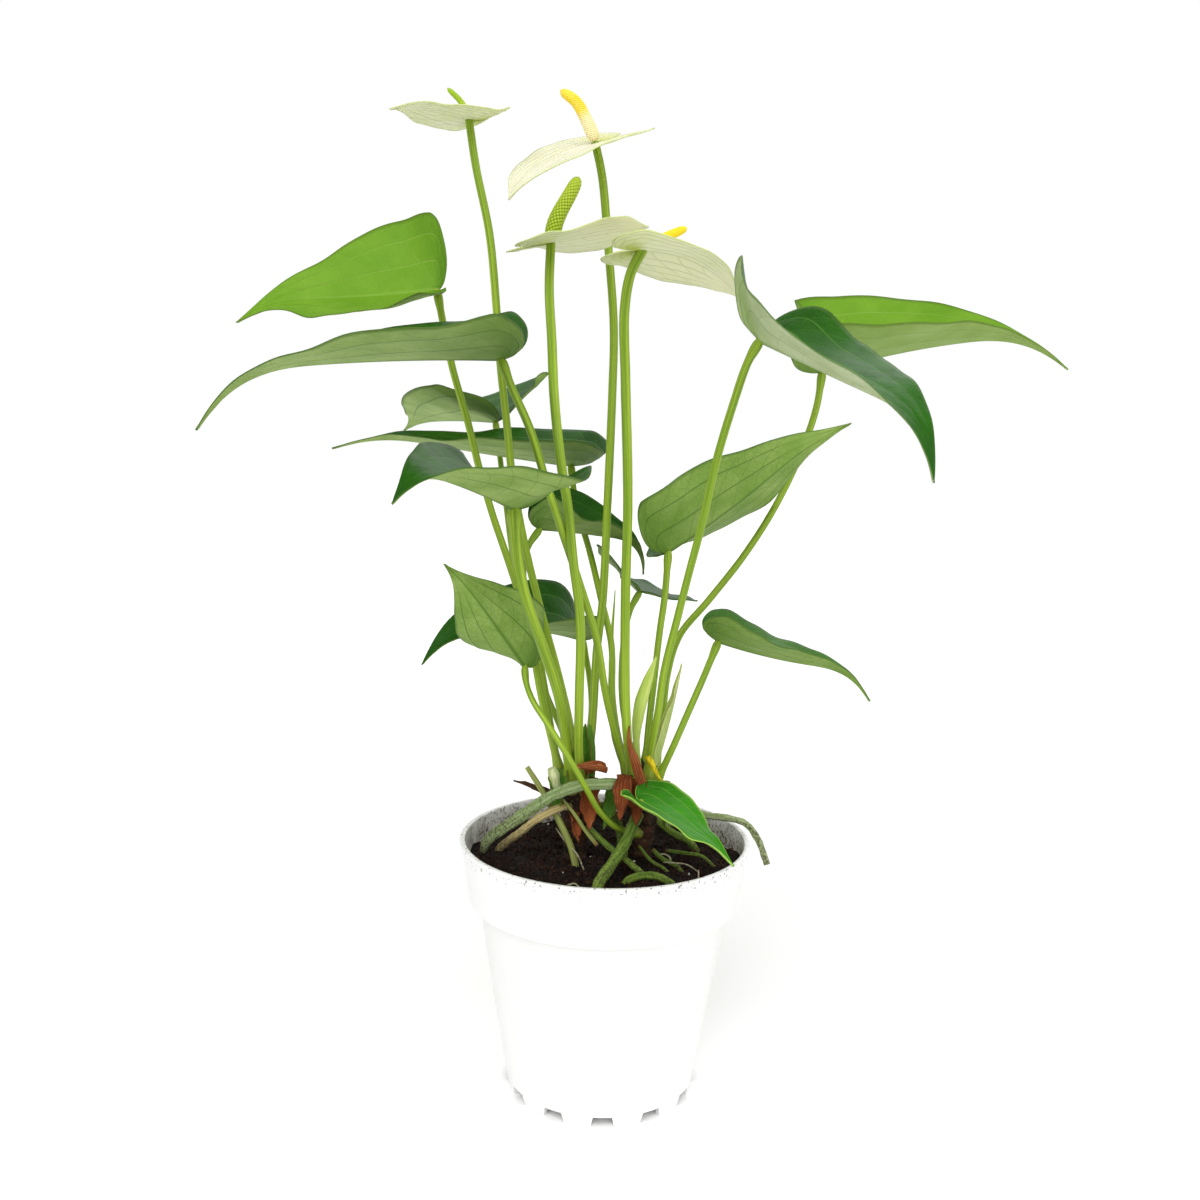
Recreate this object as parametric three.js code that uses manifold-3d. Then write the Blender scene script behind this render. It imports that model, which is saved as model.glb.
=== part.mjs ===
// Potted anthurium: a plastic nursery pot with soil, two crowns with thick roots,
// fourteen leaves on long petioles and four blooms, each a spathe with its spadix.
// Millimetres, +Z up, the pot stands on z = 0 with its axis on x = y = 0.
// Leaf directions: heading 0 points to +X and 90 to +Y, a positive pitch points up.

import * as THREE from 'three';
import { mergeVertices } from 'three/addons/utils/BufferGeometryUtils.js';
import Module from 'manifold-3d';

const wasm = await Module();
wasm.setup();

// Driving sizes of the pot. The band round the rim tapers by bandTaper and steps in
// by bandStep over the body, the raised bottom has a round pad in its middle
const rimRadius = 60;
const potHeight = 106.5;
const baseRadius = 39;
const wall = 1.4;
const bandHeight = 25;
const bandTaper = 4;
const bandStep = 4.2;
const footHeight = 5.6;
const footWidth = 3.2;
const lipWidth = 2;
const notchCount = 12;
const notchWidth = 9.4;
const notchHeight = 4.4;
const notchTaper = 0.9;
const notchTurn = 0.08;
const padRadius = 10;
const potSegments = 36;

// Soil and the clearance between neighbours
const soilTop = 97;
const soilLumps = 1.6;
const clearance = 0.32;

// Blades
const bladeThickness = 0.8;
const spatheThickness = 0.9;

// Outline of one half of a blade, from the petiole round the lobe to the tip, as
// curves in fractions of the midrib's length: x runs to the tip, y to the side.
// steps are each curve's pieces, rings the pieces from the midrib to the margin
const leafOutline = {
  curves: [
    [[0, 0], [-0.05, 0], [-0.17, 0.05], [-0.165, 0.19]],
    [[-0.165, 0.19], [-0.16, 0.33], [-0.02, 0.41], [0.12, 0.405]],
    [[0.12, 0.405], [0.36, 0.395], [0.58, 0.19], [0.8, 0.07]],
    [[0.8, 0.07], [0.88, 0.027], [0.95, 0.012], [1, 0]],
  ],
  steps: [2, 3, 5, 3],
  rings: 3,
};
const spatheOutline = {
  curves: [
    [[0, 0], [-0.12, 0], [-0.38, 0.03], [-0.4, 0.19]],
    [[-0.4, 0.19], [-0.41, 0.35], [-0.22, 0.45], [0.02, 0.45]],
    [[0.02, 0.45], [0.36, 0.45], [0.66, 0.29], [0.86, 0.1]],
    [[0.86, 0.1], [0.92, 0.045], [0.96, 0.02], [1, 0]],
  ],
  steps: [2, 3, 5, 3],
  rings: 3,
};
const sheathOutline = {
  curves: [
    [[0, 0], [0, 0.1], [0, 0.3], [0.05, 0.38]],
    [[0.05, 0.38], [0.12, 0.42], [0.2, 0.42], [0.35, 0.39]],
    [[0.35, 0.39], [0.55, 0.34], [0.75, 0.2], [0.88, 0.09]],
    [[0.88, 0.09], [0.92, 0.06], [0.97, 0.02], [1, 0]],
  ],
  steps: [1, 2, 3, 1],
  rings: 2,
};
const nominalWidth = 0.4;
const lobeLength = 0.165;

// Colours and finishes
const finishes = {
  pot: { color: 0xf3f3f1, roughness: 0.45, metalness: 0 },
  soil: { color: 0x2a1a12, roughness: 0.95, metalness: 0 },
  crown: { color: 0x6b7a34, roughness: 0.8, metalness: 0 },
  stem: { color: 0x82b52f, roughness: 0.45, metalness: 0 },
  youngLeaf: { color: 0x6faf2f, roughness: 0.45, metalness: 0 },
  leaf: { color: 0x2f7a26, roughness: 0.35, metalness: 0 },
  palerLeaf: { color: 0x4c8a2f, roughness: 0.4, metalness: 0 },
  spathe: { color: 0xe0e6b4, roughness: 0.4, metalness: 0 },
  yellowSpadix: { color: 0xf6e01c, roughness: 0.6, metalness: 0 },
  greenSpadix: { color: 0x96ad22, roughness: 0.6, metalness: 0 },
  greenRoot: { color: 0x7c9139, roughness: 0.75, metalness: 0 },
  greyRoot: { color: 0x9fa98c, roughness: 0.85, metalness: 0 },
  paleRoot: { color: 0xc9a878, roughness: 0.8, metalness: 0 },
  drySheath: { color: 0x8c4a28, roughness: 0.8, metalness: 0 },
  paleSheath: { color: 0xb7cb6a, roughness: 0.6, metalness: 0 },
};

// Crowns: short upright rhizomes, foot centre, radius and top
const crowns = {
  crown_left: { at: [-12, -3], radius: 8, top: 137 },
  crown_right: { at: [15, 2], radius: 8.5, top: 139 },
};

// One leaf's measures: where it is, its length in mm, heading, pitch and bends in degrees
function leaf(at, length, heading, pitch, bends, finish) {
  return { at, length, heading, pitch, heel: 1, rightLobe: 0, twist: 0, ...bends, finish };
}

// Leaves. at is the point where petiole and blade meet. left and right say how far
// each half rises from the level, curl how much it goes on curving, lobe how far the
// basal lobes fold up, droop and tip how the midrib bends down, back how the lobes do.
// heel shortens the lobes, rightLobe folds the right one further, twist turns the tip.
const leaves = {
  leaf_01: leaf([-74, 25, 329], 88, 175, -7,
    { left: -24, right: 58, curl: 20, lobe: 9, droop: -9, tip: 34, back: 10, width: 0.38,
      heel: 0.43, rightLobe: 14, twist: -13 },
    'youngLeaf'),
  leaf_02: leaf([-41, -45, 298], 118, 181, 0,
    { left: 3, right: 16, curl: 12, lobe: 10, droop: 10, tip: 48, back: 17, width: 0.38,
      heel: 0.53, rightLobe: -1, twist: 1 },
    'leaf'),
  leaf_03: leaf([-57, 102, 277], 103, 125, 2,
    { left: 12, right: 27, curl: 10, lobe: 12, droop: 6, tip: 10, back: 50, width: 0.38 },
    'leaf'),
  leaf_04: leaf([-19, 62, 258], 112, 174, 6,
    { left: 6, right: 14, curl: 12, lobe: 8, droop: -4, tip: 28, back: 30, width: 0.34 },
    'leaf'),
  leaf_05: leaf([-35, -52, 245], 73, 242, 18,
    { left: 7, right: 30, curl: 14, lobe: 23, droop: 10, tip: 49, back: 30, width: 0.47,
      heel: 0.54, rightLobe: -26, twist: 6 },
    'leaf'),
  leaf_06: leaf([-30, 25, 232], 60, 26, -5,
    { left: 58, right: 13, curl: 12, lobe: 30, droop: 7, tip: 80, back: 24, width: 0.36 },
    'leaf'),
  leaf_07: leaf([13, 34, 205], 66, 97, -2,
    { left: 44, right: -13, curl: 3, lobe: 2, droop: -7, tip: 16, back: 10, width: 0.4 },
    'leaf'),
  leaf_08: leaf([24, 20, 224], 93, 4, 34,
    { left: -14, right: 33, curl: 13, lobe: 14, droop: -13, tip: 22, back: 17, width: 0.38,
      heel: 0.55, twist: -36 },
    'palerLeaf'),
  leaf_09: leaf([51, -48, 306], 91, -46, -22,
    { left: 1, right: 27, curl: 11, lobe: 22, droop: -1, tip: 60, back: -12, width: 0.41,
      heel: 0.49, rightLobe: 3, twist: 19 },
    'leaf'),
  leaf_10: leaf([90, 50, 301], 112, 2, 18,
    { left: 42, right: 10, curl: 14, lobe: 15, droop: 18, tip: 38, back: 40, width: 0.36 },
    'youngLeaf'),
  leaf_11: leaf([45, 5, 189], 68, -7, -17,
    { left: 12, right: 22, curl: 4, lobe: 10, droop: -18, tip: 60, back: 30, width: 0.4 },
    'palerLeaf'),
  leaf_12: leaf([-33, -17, 181], 66, 237, 45,
    { left: 60, right: -9, curl: 28, lobe: 29, droop: 2, tip: 9, back: 8, width: 0.33,
      heel: 0.66, rightLobe: 10, twist: 39 },
    'palerLeaf'),
  leaf_13: leaf([-12, 48, 181], 77, 190, 17,
    { left: 19, right: 26, curl: 11, lobe: 4, droop: 38, tip: 36, back: 54, width: 0.42,
      heel: 0.52, rightLobe: -36, twist: -35 },
    'leaf'),
  leaf_14: leaf([14, -24, 129], 45, -30, -16,
    { left: 2, right: 12, curl: 18, lobe: 6, droop: 8, tip: 20, back: 30, width: 0.42 },
    'leaf'),
};

// Blooms. The spathe is a blade as the leaves are
const blooms = {
  spathe_1: leaf([-61, 22, 396], 35, 215, 3,
    { left: -2, right: -6, curl: 2, lobe: 2, droop: 2, tip: 25, back: 20, width: 0.46 },
    'spathe'),
  spathe_2: leaf([-10, 25, 388], 49, 214, -20,
    { left: -5, right: 10, curl: 2, lobe: 2, droop: 18, tip: 24, back: 0, width: 0.45 },
    'spathe'),
  spathe_3: leaf([-26, -2, 345], 40, 14, 13,
    { left: -2, right: -4, curl: 4, lobe: 4, droop: 1, tip: 3, back: 1, width: 0.5, twist: -28 },
    'spathe'),
  spathe_4: leaf([9, -28, 339], 43, 11, 3,
    { left: -18, right: -3, curl: 6, lobe: 8, droop: 50, tip: 5, back: 2, width: 0.49,
      heel: 0.78, twist: -8 },
    'spathe'),
};

// Spadices: axis points from the spathe up, radius and finish
const spadices = {
  spadix_1: {
    points: [[-61, 21, 397], [-64, 20, 402], [-69, 19, 407]],
    radius: 1.2,
    finish: 'greenSpadix',
  },
  spadix_2: {
    points: [[-10, 24, 389], [-14, 23, 397], [-18, 21, 403], [-24, 19, 407]],
    radius: 2.6,
    finish: 'yellowSpadix',
  },
  spadix_3: {
    points: [[-26, -1, 346], [-24, 0, 354], [-19, 2, 364], [-16, 3, 370]],
    radius: 3.1,
    finish: 'greenSpadix',
  },
  spadix_4: {
    points: [[10, -27, 340], [15, -17, 344], [21, -9, 348], [26, -3, 351]],
    radius: 2,
    finish: 'yellowSpadix',
  },
};
const floretRelief = 0.28;

// Stems: radius, then the route from the crown up to the blade
const petioles = {
  petiole_01: [1.5, [[-18, -5, 130], [-22, -4, 146], [-27, -4, 166], [-33, -1, 195], [-41, 4, 218],
    [-49, 12, 238], [-55, 17, 256], [-60, 18, 275], [-67, 20, 298], [-72, 24, 319], [-74, 25, 329]]],
  petiole_02: [1.5, [[10, 0, 130], [5, -6, 146], [-1, -16, 171], [-5, -24, 194], [-12, -32, 217],
    [-23, -46, 251], [-30, -47, 273], [-37, -46, 288], [-41, -45, 298]]],
  petiole_03: [1.3, [[-14, 2, 130], [-18, 9, 146], [-26, 12, 164], [-34, 12, 191], [-39, 18, 208],
    [-44, 40, 226], [-49, 72, 240], [-54, 98, 258], [-57, 102, 277]]],
  petiole_04: [1.4, [[10, 5, 130], [5, 11, 145], [2, 12, 162], [1, 12, 185], [-4, 20, 204],
    [-10, 42, 223], [-16, 55, 240], [-19, 62, 258]]],
  petiole_05: [2.1, [[-14, -6, 128], [-16, -16, 149], [-19, -28, 172], [-25, -38, 193],
    [-31, -48, 213], [-34, -52, 230], [-35, -52, 245]]],
  petiole_06: [1.3, [[-17, -1, 128], [-22, 2, 146], [-26, 4, 168], [-31, 5, 192], [-36, 12, 212],
    [-35, 22, 224], [-30, 25, 232]]],
  petiole_07: [1.2, [[14, 6, 132], [9, 12, 146], [6, 18, 160], [6, 27, 182], [9, 32, 197],
    [13, 34, 205]]],
  petiole_08: [1.4, [[16, 2, 132], [17, 4, 150], [19, 8, 171], [21, 14, 190], [23, 18, 206],
    [24, 20, 224]]],
  petiole_09: [1.5, [[17, -2, 130], [18, -8, 146], [20, -14, 162], [22, -18, 181], [26, -22, 201],
    [30, -27, 221], [34, -31, 240], [38, -36, 263], [43, -42, 284], [47, -46, 298], [51, -48, 306]]],
  petiole_10: [1.5, [[20, 5, 128], [23, 12, 152], [25, 18, 172], [30, 26, 187], [43, 34, 202],
    [58, 40, 221], [71, 44, 242], [82, 48, 266], [88, 50, 285], [90, 50, 301]]],
  petiole_11: [1.4, [[19, -1, 126], [27, -4, 146], [33, -1, 160], [39, 2, 174], [45, 5, 189]]],
  petiole_12: [1.2, [[14, -3, 109], [5, -15, 115], [-2, -23, 124], [-7, -28, 134], [-14, -31, 147],
    [-23, -30, 161], [-29, -26, 169], [-32, -21, 175], [-33, -17, 181]]],
  petiole_13: [1.3, [[-11, 2, 128], [-8, 15, 143], [-7, 28, 156], [-9, 41, 169], [-12, 48, 181]]],
  petiole_14: [1.2, [[15, 0, 122], [15, -13, 124], [14, -24, 129]]],
};
const peduncles = {
  peduncle_1: [1.6, [[-12, -3, 131], [-15, -1, 152], [-20, 2, 172], [-28, 5, 199], [-36, 11, 228],
    [-42, 19, 256], [-44, 17, 275], [-47, 16, 301], [-49, 17, 325], [-52, 19, 351], [-58, 21, 378],
    [-61, 22, 396]]],
  peduncle_2: [1.7, [[-8, -1, 130], [-6, 3, 156], [-5, 8, 183], [-3, 10, 204], [-2, 12, 240],
    [-1, 18, 286], [-1, 23, 316], [-4, 25, 348], [-7, 25, 375], [-10, 25, 388]]],
  peduncle_3: [1.8, [[-9, -6, 128], [-11, -17, 146], [-11, -28, 170], [-11, -36, 203], [-14, -40, 226],
    [-16, -42, 244], [-19, -43, 262], [-22, -36, 284], [-24, -22, 306], [-26, -9, 327],
    [-26, -2, 345]]],
  peduncle_4: [1.9, [[12, -2, 130], [9, -13, 146], [7, -19, 168], [6, -18, 210], [6, -17, 247],
    [4, -19, 292], [3, -22, 318], [5, -26, 331], [9, -28, 339]]],
};

// Roots and other growths from the crowns, the lower ends in the soil
const roots = {
  root_1: [2.1, [[11, -4, 126], [6, -12, 132], [-1, -18, 134], [-10, -21, 134], [-20, -20, 130],
    [-29, -17, 123], [-39, -11, 114], [-48, -4, 105], [-51, 2, 97], [-51, 4, 91]], 'greenRoot'],
  root_2: [1.6, [[-13, -5, 120], [-18, -15, 123], [-27, -18, 119], [-34, -14, 112], [-40, -6, 105],
    [-44, 0, 99], [-45, 2, 92]], 'paleRoot'],
  root_3: [2.3, [[14, -2, 117], [12, -12, 117], [8, -22, 111], [3, -29, 105], [-2, -35, 99],
    [-4, -38, 92]], 'greenRoot'],
  root_4: [1.9, [[-8, -3, 120], [-1, -4, 120], [5, -5, 114], [7, -5, 106], [8, -5, 98],
    [8, -5, 91]], 'greenRoot'],
  root_5: [1.3, [[-9, -5, 114], [-4, -11, 111], [4, -17, 106], [11, -21, 102], [16, -23, 98],
    [19, -24, 91]], 'greenRoot'],
  root_6: [1.6, [[7, -26, 91], [9, -27, 97], [14, -28, 100], [21, -28, 100], [27, -29, 97],
    [29, -31, 91]], 'greenRoot'],
  root_7: [1.5, [[17, 1, 118], [27, 1, 109], [36, 7, 102], [42, 11, 92]], 'greenRoot'],
  root_8: [1.4, [[18, 3, 117], [27, 9, 115], [36, 12, 114], [44, 13, 112], [53, 13, 111],
    [60, 12, 109], [65, 10, 103], [69, 8, 93]], 'greyRoot'],
  root_9: [1.8, [[17, 4, 124], [26, 13, 119], [36, 21, 109], [40, 25, 100], [41, 27, 92]], 'greyRoot'],
};
const stub = [1.4, [[-10, -14, 92], [-14, -13, 107], [-20, -12, 119], [-26, -11, 129],
  [-32, -10, 138]]];
const spear = [1.3, [[10, 2, 130], [3, 2, 150], [1, 3, 180], [2, 4, 209]]];
const bud = [1.2, [[14, 0, 132], [12, -5, 150], [13, -7, 163], [15, -7, 171], [19, -8, 184]]];

// Sheaths: thin lance-shaped scales round the foot of the stems
const sheaths = {
  cataphyll: leaf([21, 4, 136], 44, 8, 74,
    { left: 30, right: 30, curl: 40, lobe: 0, droop: -8, tip: 0, back: 0, width: 0.1 },
    'paleSheath'),
  dry_sheath_1: leaf([13, -18, 134], 25, 196, 68,
    { left: 30, right: 30, curl: 40, lobe: 0, droop: -16, tip: -20, back: 0, width: 0.16 },
    'drySheath'),
  dry_sheath_2: leaf([0, -17, 138.5], 14, 188, 18,
    { left: 30, right: 30, curl: 40, lobe: 0, droop: 20, tip: 0, back: 0, width: 0.3 },
    'drySheath'),
  dry_sheath_3: leaf([-18, 3, 118], 24, 160, 30,
    { left: 20, right: 20, curl: 30, lobe: 0, droop: 20, tip: 0, back: 0, width: 0.14 },
    'drySheath'),
};

// Small helpers
const radians = THREE.MathUtils.degToRad;
const smooth = (x, low, high) => THREE.MathUtils.smoothstep(x, low, high);
const vector = (p) => new THREE.Vector3(p[0], p[1], p[2]);

function toSolid(geometry) {
  const bare = new THREE.BufferGeometry();
  bare.setAttribute('position', geometry.getAttribute('position').clone());
  if (geometry.index) bare.setIndex(geometry.index.clone());
  const merged = mergeVertices(bare, 1e-3);
  const corners = merged.index.array;
  const kept = [];
  for (let i = 0; i < corners.length; i += 3) {
    const [a, b, c] = [corners[i], corners[i + 1], corners[i + 2]];
    if (a !== b && b !== c && c !== a) kept.push(a, b, c);
  }
  return new wasm.Manifold(new wasm.Mesh({
    numProp: 3,
    vertProperties: Float32Array.from(merged.getAttribute('position').array),
    triVerts: Uint32Array.from(kept),
  }));
}

function toGeometry(solid) {
  const mesh = solid.getMesh();
  const geometry = new THREE.BufferGeometry();
  const corners = Float32Array.from(mesh.vertProperties);
  geometry.setAttribute('position', new THREE.BufferAttribute(corners, 3));
  geometry.setIndex(new THREE.BufferAttribute(Uint32Array.from(mesh.triVerts), 1));
  const faceted = geometry.toNonIndexed();
  faceted.computeVertexNormals();
  return faceted;
}

// The largest piece that a cut leaves, without the slivers along the cut
const sliver = 0.04;
function largest(solid) {
  return solid.decompose().sort((a, b) => b.volume() - a.volume())[0].simplify(sliver);
}

// A blade: thin, closed, folded along its midrib, from one leaf's measures

// Elevation of the midrib against the blade's own level at x
function slope(shape, x) {
  const ahead = Math.max(x, 0);
  const behind = Math.max(-x, 0) / lobeLength;
  return -radians(shape.droop) * ahead
    - radians(shape.tip) * smooth(ahead, 0.55, 1.05)
    - radians(shape.back) * behind;
}

// Flat outline point to the blade's own frame, in fractions of its length
function bend(shape, flatX, y, side) {
  const x = flatX < 0 ? flatX * shape.heel : flatX;
  const lobe = side > 0 ? shape.lobe : shape.lobe + shape.rightLobe;
  const rise = radians(side > 0 ? shape.left : shape.right)
    + radians(lobe) * (1 - smooth(x, -0.12, 0.18));
  const turn = radians(Math.max(shape.curl, 0.1)) / shape.width;
  const reach = Math.abs(y) * shape.width / nominalWidth;
  const across = (Math.sin(rise + turn * reach) - Math.sin(rise)) / turn;
  const lift = (Math.cos(rise) - Math.cos(rise + turn * reach)) / turn;
  const point = new THREE.Vector3();
  const steps = 24;
  for (let i = 0; i < steps; i++) {
    const angle = slope(shape, x * (i + 0.5) / steps);
    point.x += Math.cos(angle) * x / steps;
    point.z += Math.sin(angle) * x / steps;
  }
  const angle = slope(shape, x);
  const twist = radians(shape.twist) * Math.max(x, 0);
  const height = lift * Math.cos(twist) + side * across * Math.sin(twist);
  point.x -= Math.sin(angle) * height;
  point.z += Math.cos(angle) * height;
  point.y = side * across * Math.cos(twist) - lift * Math.sin(twist);
  return point;
}

// The blade's frame in the part: forward along the midrib, left, and up
function bladeFrame(shape) {
  const heading = radians(shape.heading);
  const pitch = radians(shape.pitch);
  const forward = new THREE.Vector3(
    Math.cos(heading) * Math.cos(pitch),
    Math.sin(heading) * Math.cos(pitch),
    Math.sin(pitch),
  );
  const left = new THREE.Vector3(-Math.sin(heading), Math.cos(heading), 0);
  const up = new THREE.Vector3().crossVectors(forward, left);
  return new THREE.Matrix4()
    .makeBasis(forward, left, up)
    .setPosition(vector(shape.at));
}

// Points round half of the outline, as THREE curves give them
function outlineHalf(outline) {
  const points = [];
  outline.curves.forEach((corners, i) => {
    const [a, b, c, d] = corners.map((p) => new THREE.Vector2(p[0], p[1]));
    const part = new THREE.CubicBezierCurve(a, b, c, d).getPoints(outline.steps[i]);
    points.push(...(i === 0 ? part : part.slice(1)));
  });
  return points;
}

// Where the ray to an outline point leaves the midrib
function rayStart(marginX) {
  const t = Math.max((marginX - 0.1) / 0.9, 0);
  return t * (0.9 + 0.1 * t);
}

function blade(shape, outline, thickness) {
  const margin = outlineHalf(outline);
  const frame = bladeFrame(shape);
  const middle = [];
  const seen = new Map();
  const faces = [];

  const place = (column, ring, side) => {
    const edge = margin[column];
    const start = rayStart(edge.x);
    const x = THREE.MathUtils.lerp(start, edge.x, ring / outline.rings);
    const y = edge.y * ring / outline.rings;
    const key = `${x.toFixed(4)} ${(side * y).toFixed(4)}`;
    if (!seen.has(key)) {
      seen.set(key, middle.length);
      middle.push(bend(shape, x, y, side).multiplyScalar(shape.length).applyMatrix4(frame));
    }
    return seen.get(key);
  };
  const addFace = (a, b, c) => {
    if (a !== b && b !== c && c !== a) faces.push([a, b, c]);
  };

  for (const side of [1, -1]) {
    for (let column = 0; column < margin.length - 1; column++) {
      for (let ring = 0; ring < outline.rings; ring++) {
        const a = place(column, ring, side);
        const b = place(column + 1, ring, side);
        const c = place(column + 1, ring + 1, side);
        const d = place(column, ring + 1, side);
        if (side > 0) {
          addFace(a, b, c);
          addFace(a, c, d);
        } else {
          addFace(a, c, b);
          addFace(a, d, c);
        }
      }
    }
  }
  return thicken(middle, faces, thickness);
}

// A closed body of even thickness on both sides of a middle surface
function thicken(middle, faces, thickness) {
  const normals = middle.map(() => new THREE.Vector3());
  for (const [a, b, c] of faces) {
    const ab = middle[b].clone().sub(middle[a]);
    const ac = middle[c].clone().sub(middle[a]);
    const normal = ab.cross(ac);
    for (const corner of [a, b, c]) normals[corner].add(normal);
  }
  normals.forEach((n) => n.normalize().multiplyScalar(thickness / 2));
  const count = middle.length;
  const points = [
    ...middle.map((p, i) => p.clone().add(normals[i])),
    ...middle.map((p, i) => p.clone().sub(normals[i])),
  ];
  const index = [];
  const edges = new Map();
  for (const [a, b, c] of faces) {
    index.push(a, b, c);
    index.push(a + count, c + count, b + count);
    for (const [from, to] of [[a, b], [b, c], [c, a]]) {
      if (edges.has(`${to} ${from}`)) edges.delete(`${to} ${from}`);
      else edges.set(`${from} ${to}`, [from, to]);
    }
  }
  for (const [from, to] of edges.values()) {
    index.push(to, from, from + count);
    index.push(to, from + count, to + count);
  }
  const geometry = new THREE.BufferGeometry();
  geometry.setFromPoints(points);
  geometry.setIndex(index);
  return geometry;
}

// A round stem along a route; swell gives the radius along it as a factor
function stem([radius, route], { sides = 6, reach = 12, extra = 0, swell = () => 1 } = {}) {
  const path = new THREE.CatmullRomCurve3(route.map(vector), false, 'centripetal');
  const steps = Math.max(3, Math.round(path.getLength() / reach));
  const section = new THREE.Shape();
  for (let i = 0; i < sides; i++) {
    const angle = (i / sides) * 2 * Math.PI;
    const [x, y] = [radius * Math.cos(angle), radius * Math.sin(angle)];
    if (i === 0) section.moveTo(x, y);
    else section.lineTo(x, y);
  }
  const geometry = new THREE.ExtrudeGeometry(section, {
    steps,
    extrudePath: path,
    bevelEnabled: false,
  });
  const centres = path.getSpacedPoints(steps);
  const position = geometry.getAttribute('position');
  const corner = new THREE.Vector3();
  for (let i = 0; i < position.count; i++) {
    corner.fromBufferAttribute(position, i);
    const distances = centres.map((c) => c.distanceTo(corner));
    const nearest = distances.indexOf(Math.min(...distances));
    const scale = swell(nearest / steps) + extra / radius;
    corner.sub(centres[nearest]).multiplyScalar(scale).add(centres[nearest]);
    position.setXYZ(i, corner.x, corner.y, corner.z);
  }
  return geometry;
}

// A spadix: a tapered rod along its axis points, covered with florets as low relief
function spadix({ points, radius }) {
  const rings = 16;
  const sides = 10;
  const profile = [];
  for (let i = 0; i <= rings; i++) {
    const t = i / rings;
    const width = radius * Math.sqrt(Math.max(1 - Math.pow(2 * t - 1, 8), 0)) * (1.05 - 0.3 * t);
    profile.push(new THREE.Vector2(i === 0 || i === rings ? 0 : width, t));
  }
  const geometry = new THREE.LatheGeometry(profile, sides);
  const axis = new THREE.CatmullRomCurve3(points.map(vector), false, 'centripetal');
  const position = geometry.getAttribute('position');
  for (let i = 0; i < position.count; i++) {
    const ring = i % (rings + 1);
    const side = Math.floor(i / (rings + 1)) % sides;
    const t = position.getY(i);
    const around = new THREE.Vector3(position.getX(i), 0, position.getZ(i));
    const raised = around.length() > 0.1 && (ring + side) % 2 === 0 ? floretRelief : 0;
    around.setLength(around.length() + raised);
    const tangent = axis.getTangentAt(t);
    const across = new THREE.Vector3(0, 1, 0).addScaledVector(tangent, -tangent.y).normalize();
    const other = new THREE.Vector3().crossVectors(tangent, across);
    const point = axis.getPointAt(t)
      .addScaledVector(across, around.z)
      .addScaledVector(other, around.x);
    position.setXYZ(i, point.x, point.y, point.z);
  }
  return geometry;
}

// Pot
const stepHeight = potHeight - bandHeight;
const bandFoot = rimRadius - bandTaper;
const bodyTop = bandFoot - bandStep;

function potGeometry() {
  const foot = baseRadius - footWidth;
  const floor = footHeight + wall;
  const outside = [
    [0, 0], [padRadius, 0], [padRadius + 0.4, footHeight], [foot, footHeight],
    [foot + 0.6, 0], [baseRadius - 0.8, 0], [baseRadius, 1.6],
    [bodyTop, stepHeight - 2], [bandFoot - 0.2, stepHeight], [bandFoot + 0.1, stepHeight + 1],
    [rimRadius - 0.8, potHeight - 2], [rimRadius, potHeight - 1.5], [rimRadius, potHeight - 0.4],
    [rimRadius - 0.5, potHeight],
  ];
  const inside = [
    [rimRadius - lipWidth, potHeight], [rimRadius - lipWidth - 0.4, potHeight - 0.8],
    [bandFoot + 0.1 - wall, stepHeight + 1], [bodyTop - wall, stepHeight - 1.4],
    [baseRadius - 1.6 - wall, floor + 1.6], [baseRadius - 3.4 - wall, floor], [0, floor],
  ];
  const profile = [...outside, ...inside].map(([r, z]) => new THREE.Vector2(r, z));
  return new THREE.LatheGeometry(profile, potSegments).rotateX(Math.PI / 2);
}

function pot() {
  let solid = toSolid(potGeometry());
  const depth = 8;
  for (let i = 0; i < notchCount; i++) {
    const notch = new THREE.Shape();
    notch.moveTo(-notchWidth / 2, -1);
    notch.lineTo(notchWidth / 2, -1);
    notch.lineTo(notchWidth / 2 - notchTaper, notchHeight);
    notch.lineTo(notchTaper - notchWidth / 2, notchHeight);
    const cutter = new THREE.ExtrudeGeometry(notch, { depth, bevelEnabled: false })
      .rotateX(Math.PI / 2)
      .translate(0, depth - 2 - baseRadius, 0)
      .rotateZ((i + notchTurn) * 2 * Math.PI / notchCount);
    solid = solid.subtract(toSolid(cutter));
  }
  return solid;
}

// Height of the soil: a few low lumps, and a low mound round the crowns
function soilHeight(x, y) {
  return soilTop
    + soilLumps * Math.sin(x / 7.3 + 1.1) * Math.cos(y / 8.1)
    + 0.6 * soilLumps * Math.sin((x + y) / 4.3)
    + 0.05 * Math.max(30 - Math.hypot(x, y), 0);
}

function soil() {
  const gap = wall + clearance + 0.05;
  const floor = footHeight + wall + clearance;
  const soilRadius = rimRadius - 5.4;
  const top = [1, 0.84, 0.68, 0.51, 0.35, 0.18].map((part) => [part * soilRadius, soilTop]);
  const profile = [
    [0, floor], [baseRadius - 3.8 - wall, floor], [baseRadius - 1.9 - gap, floor + 1.7],
    [bodyTop - gap - 0.2, stepHeight - 1.4], [bandFoot - 0.2 - gap, stepHeight + 1.4],
    ...top, [0, soilTop],
  ].map(([r, z]) => new THREE.Vector2(r, z));
  const geometry = new THREE.LatheGeometry(profile, potSegments).rotateX(Math.PI / 2);
  const position = geometry.getAttribute('position');
  for (let i = 0; i < position.count; i++) {
    if (position.getZ(i) === soilTop) {
      position.setZ(i, soilHeight(position.getX(i), position.getY(i)));
    }
  }
  return toSolid(geometry);
}

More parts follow.
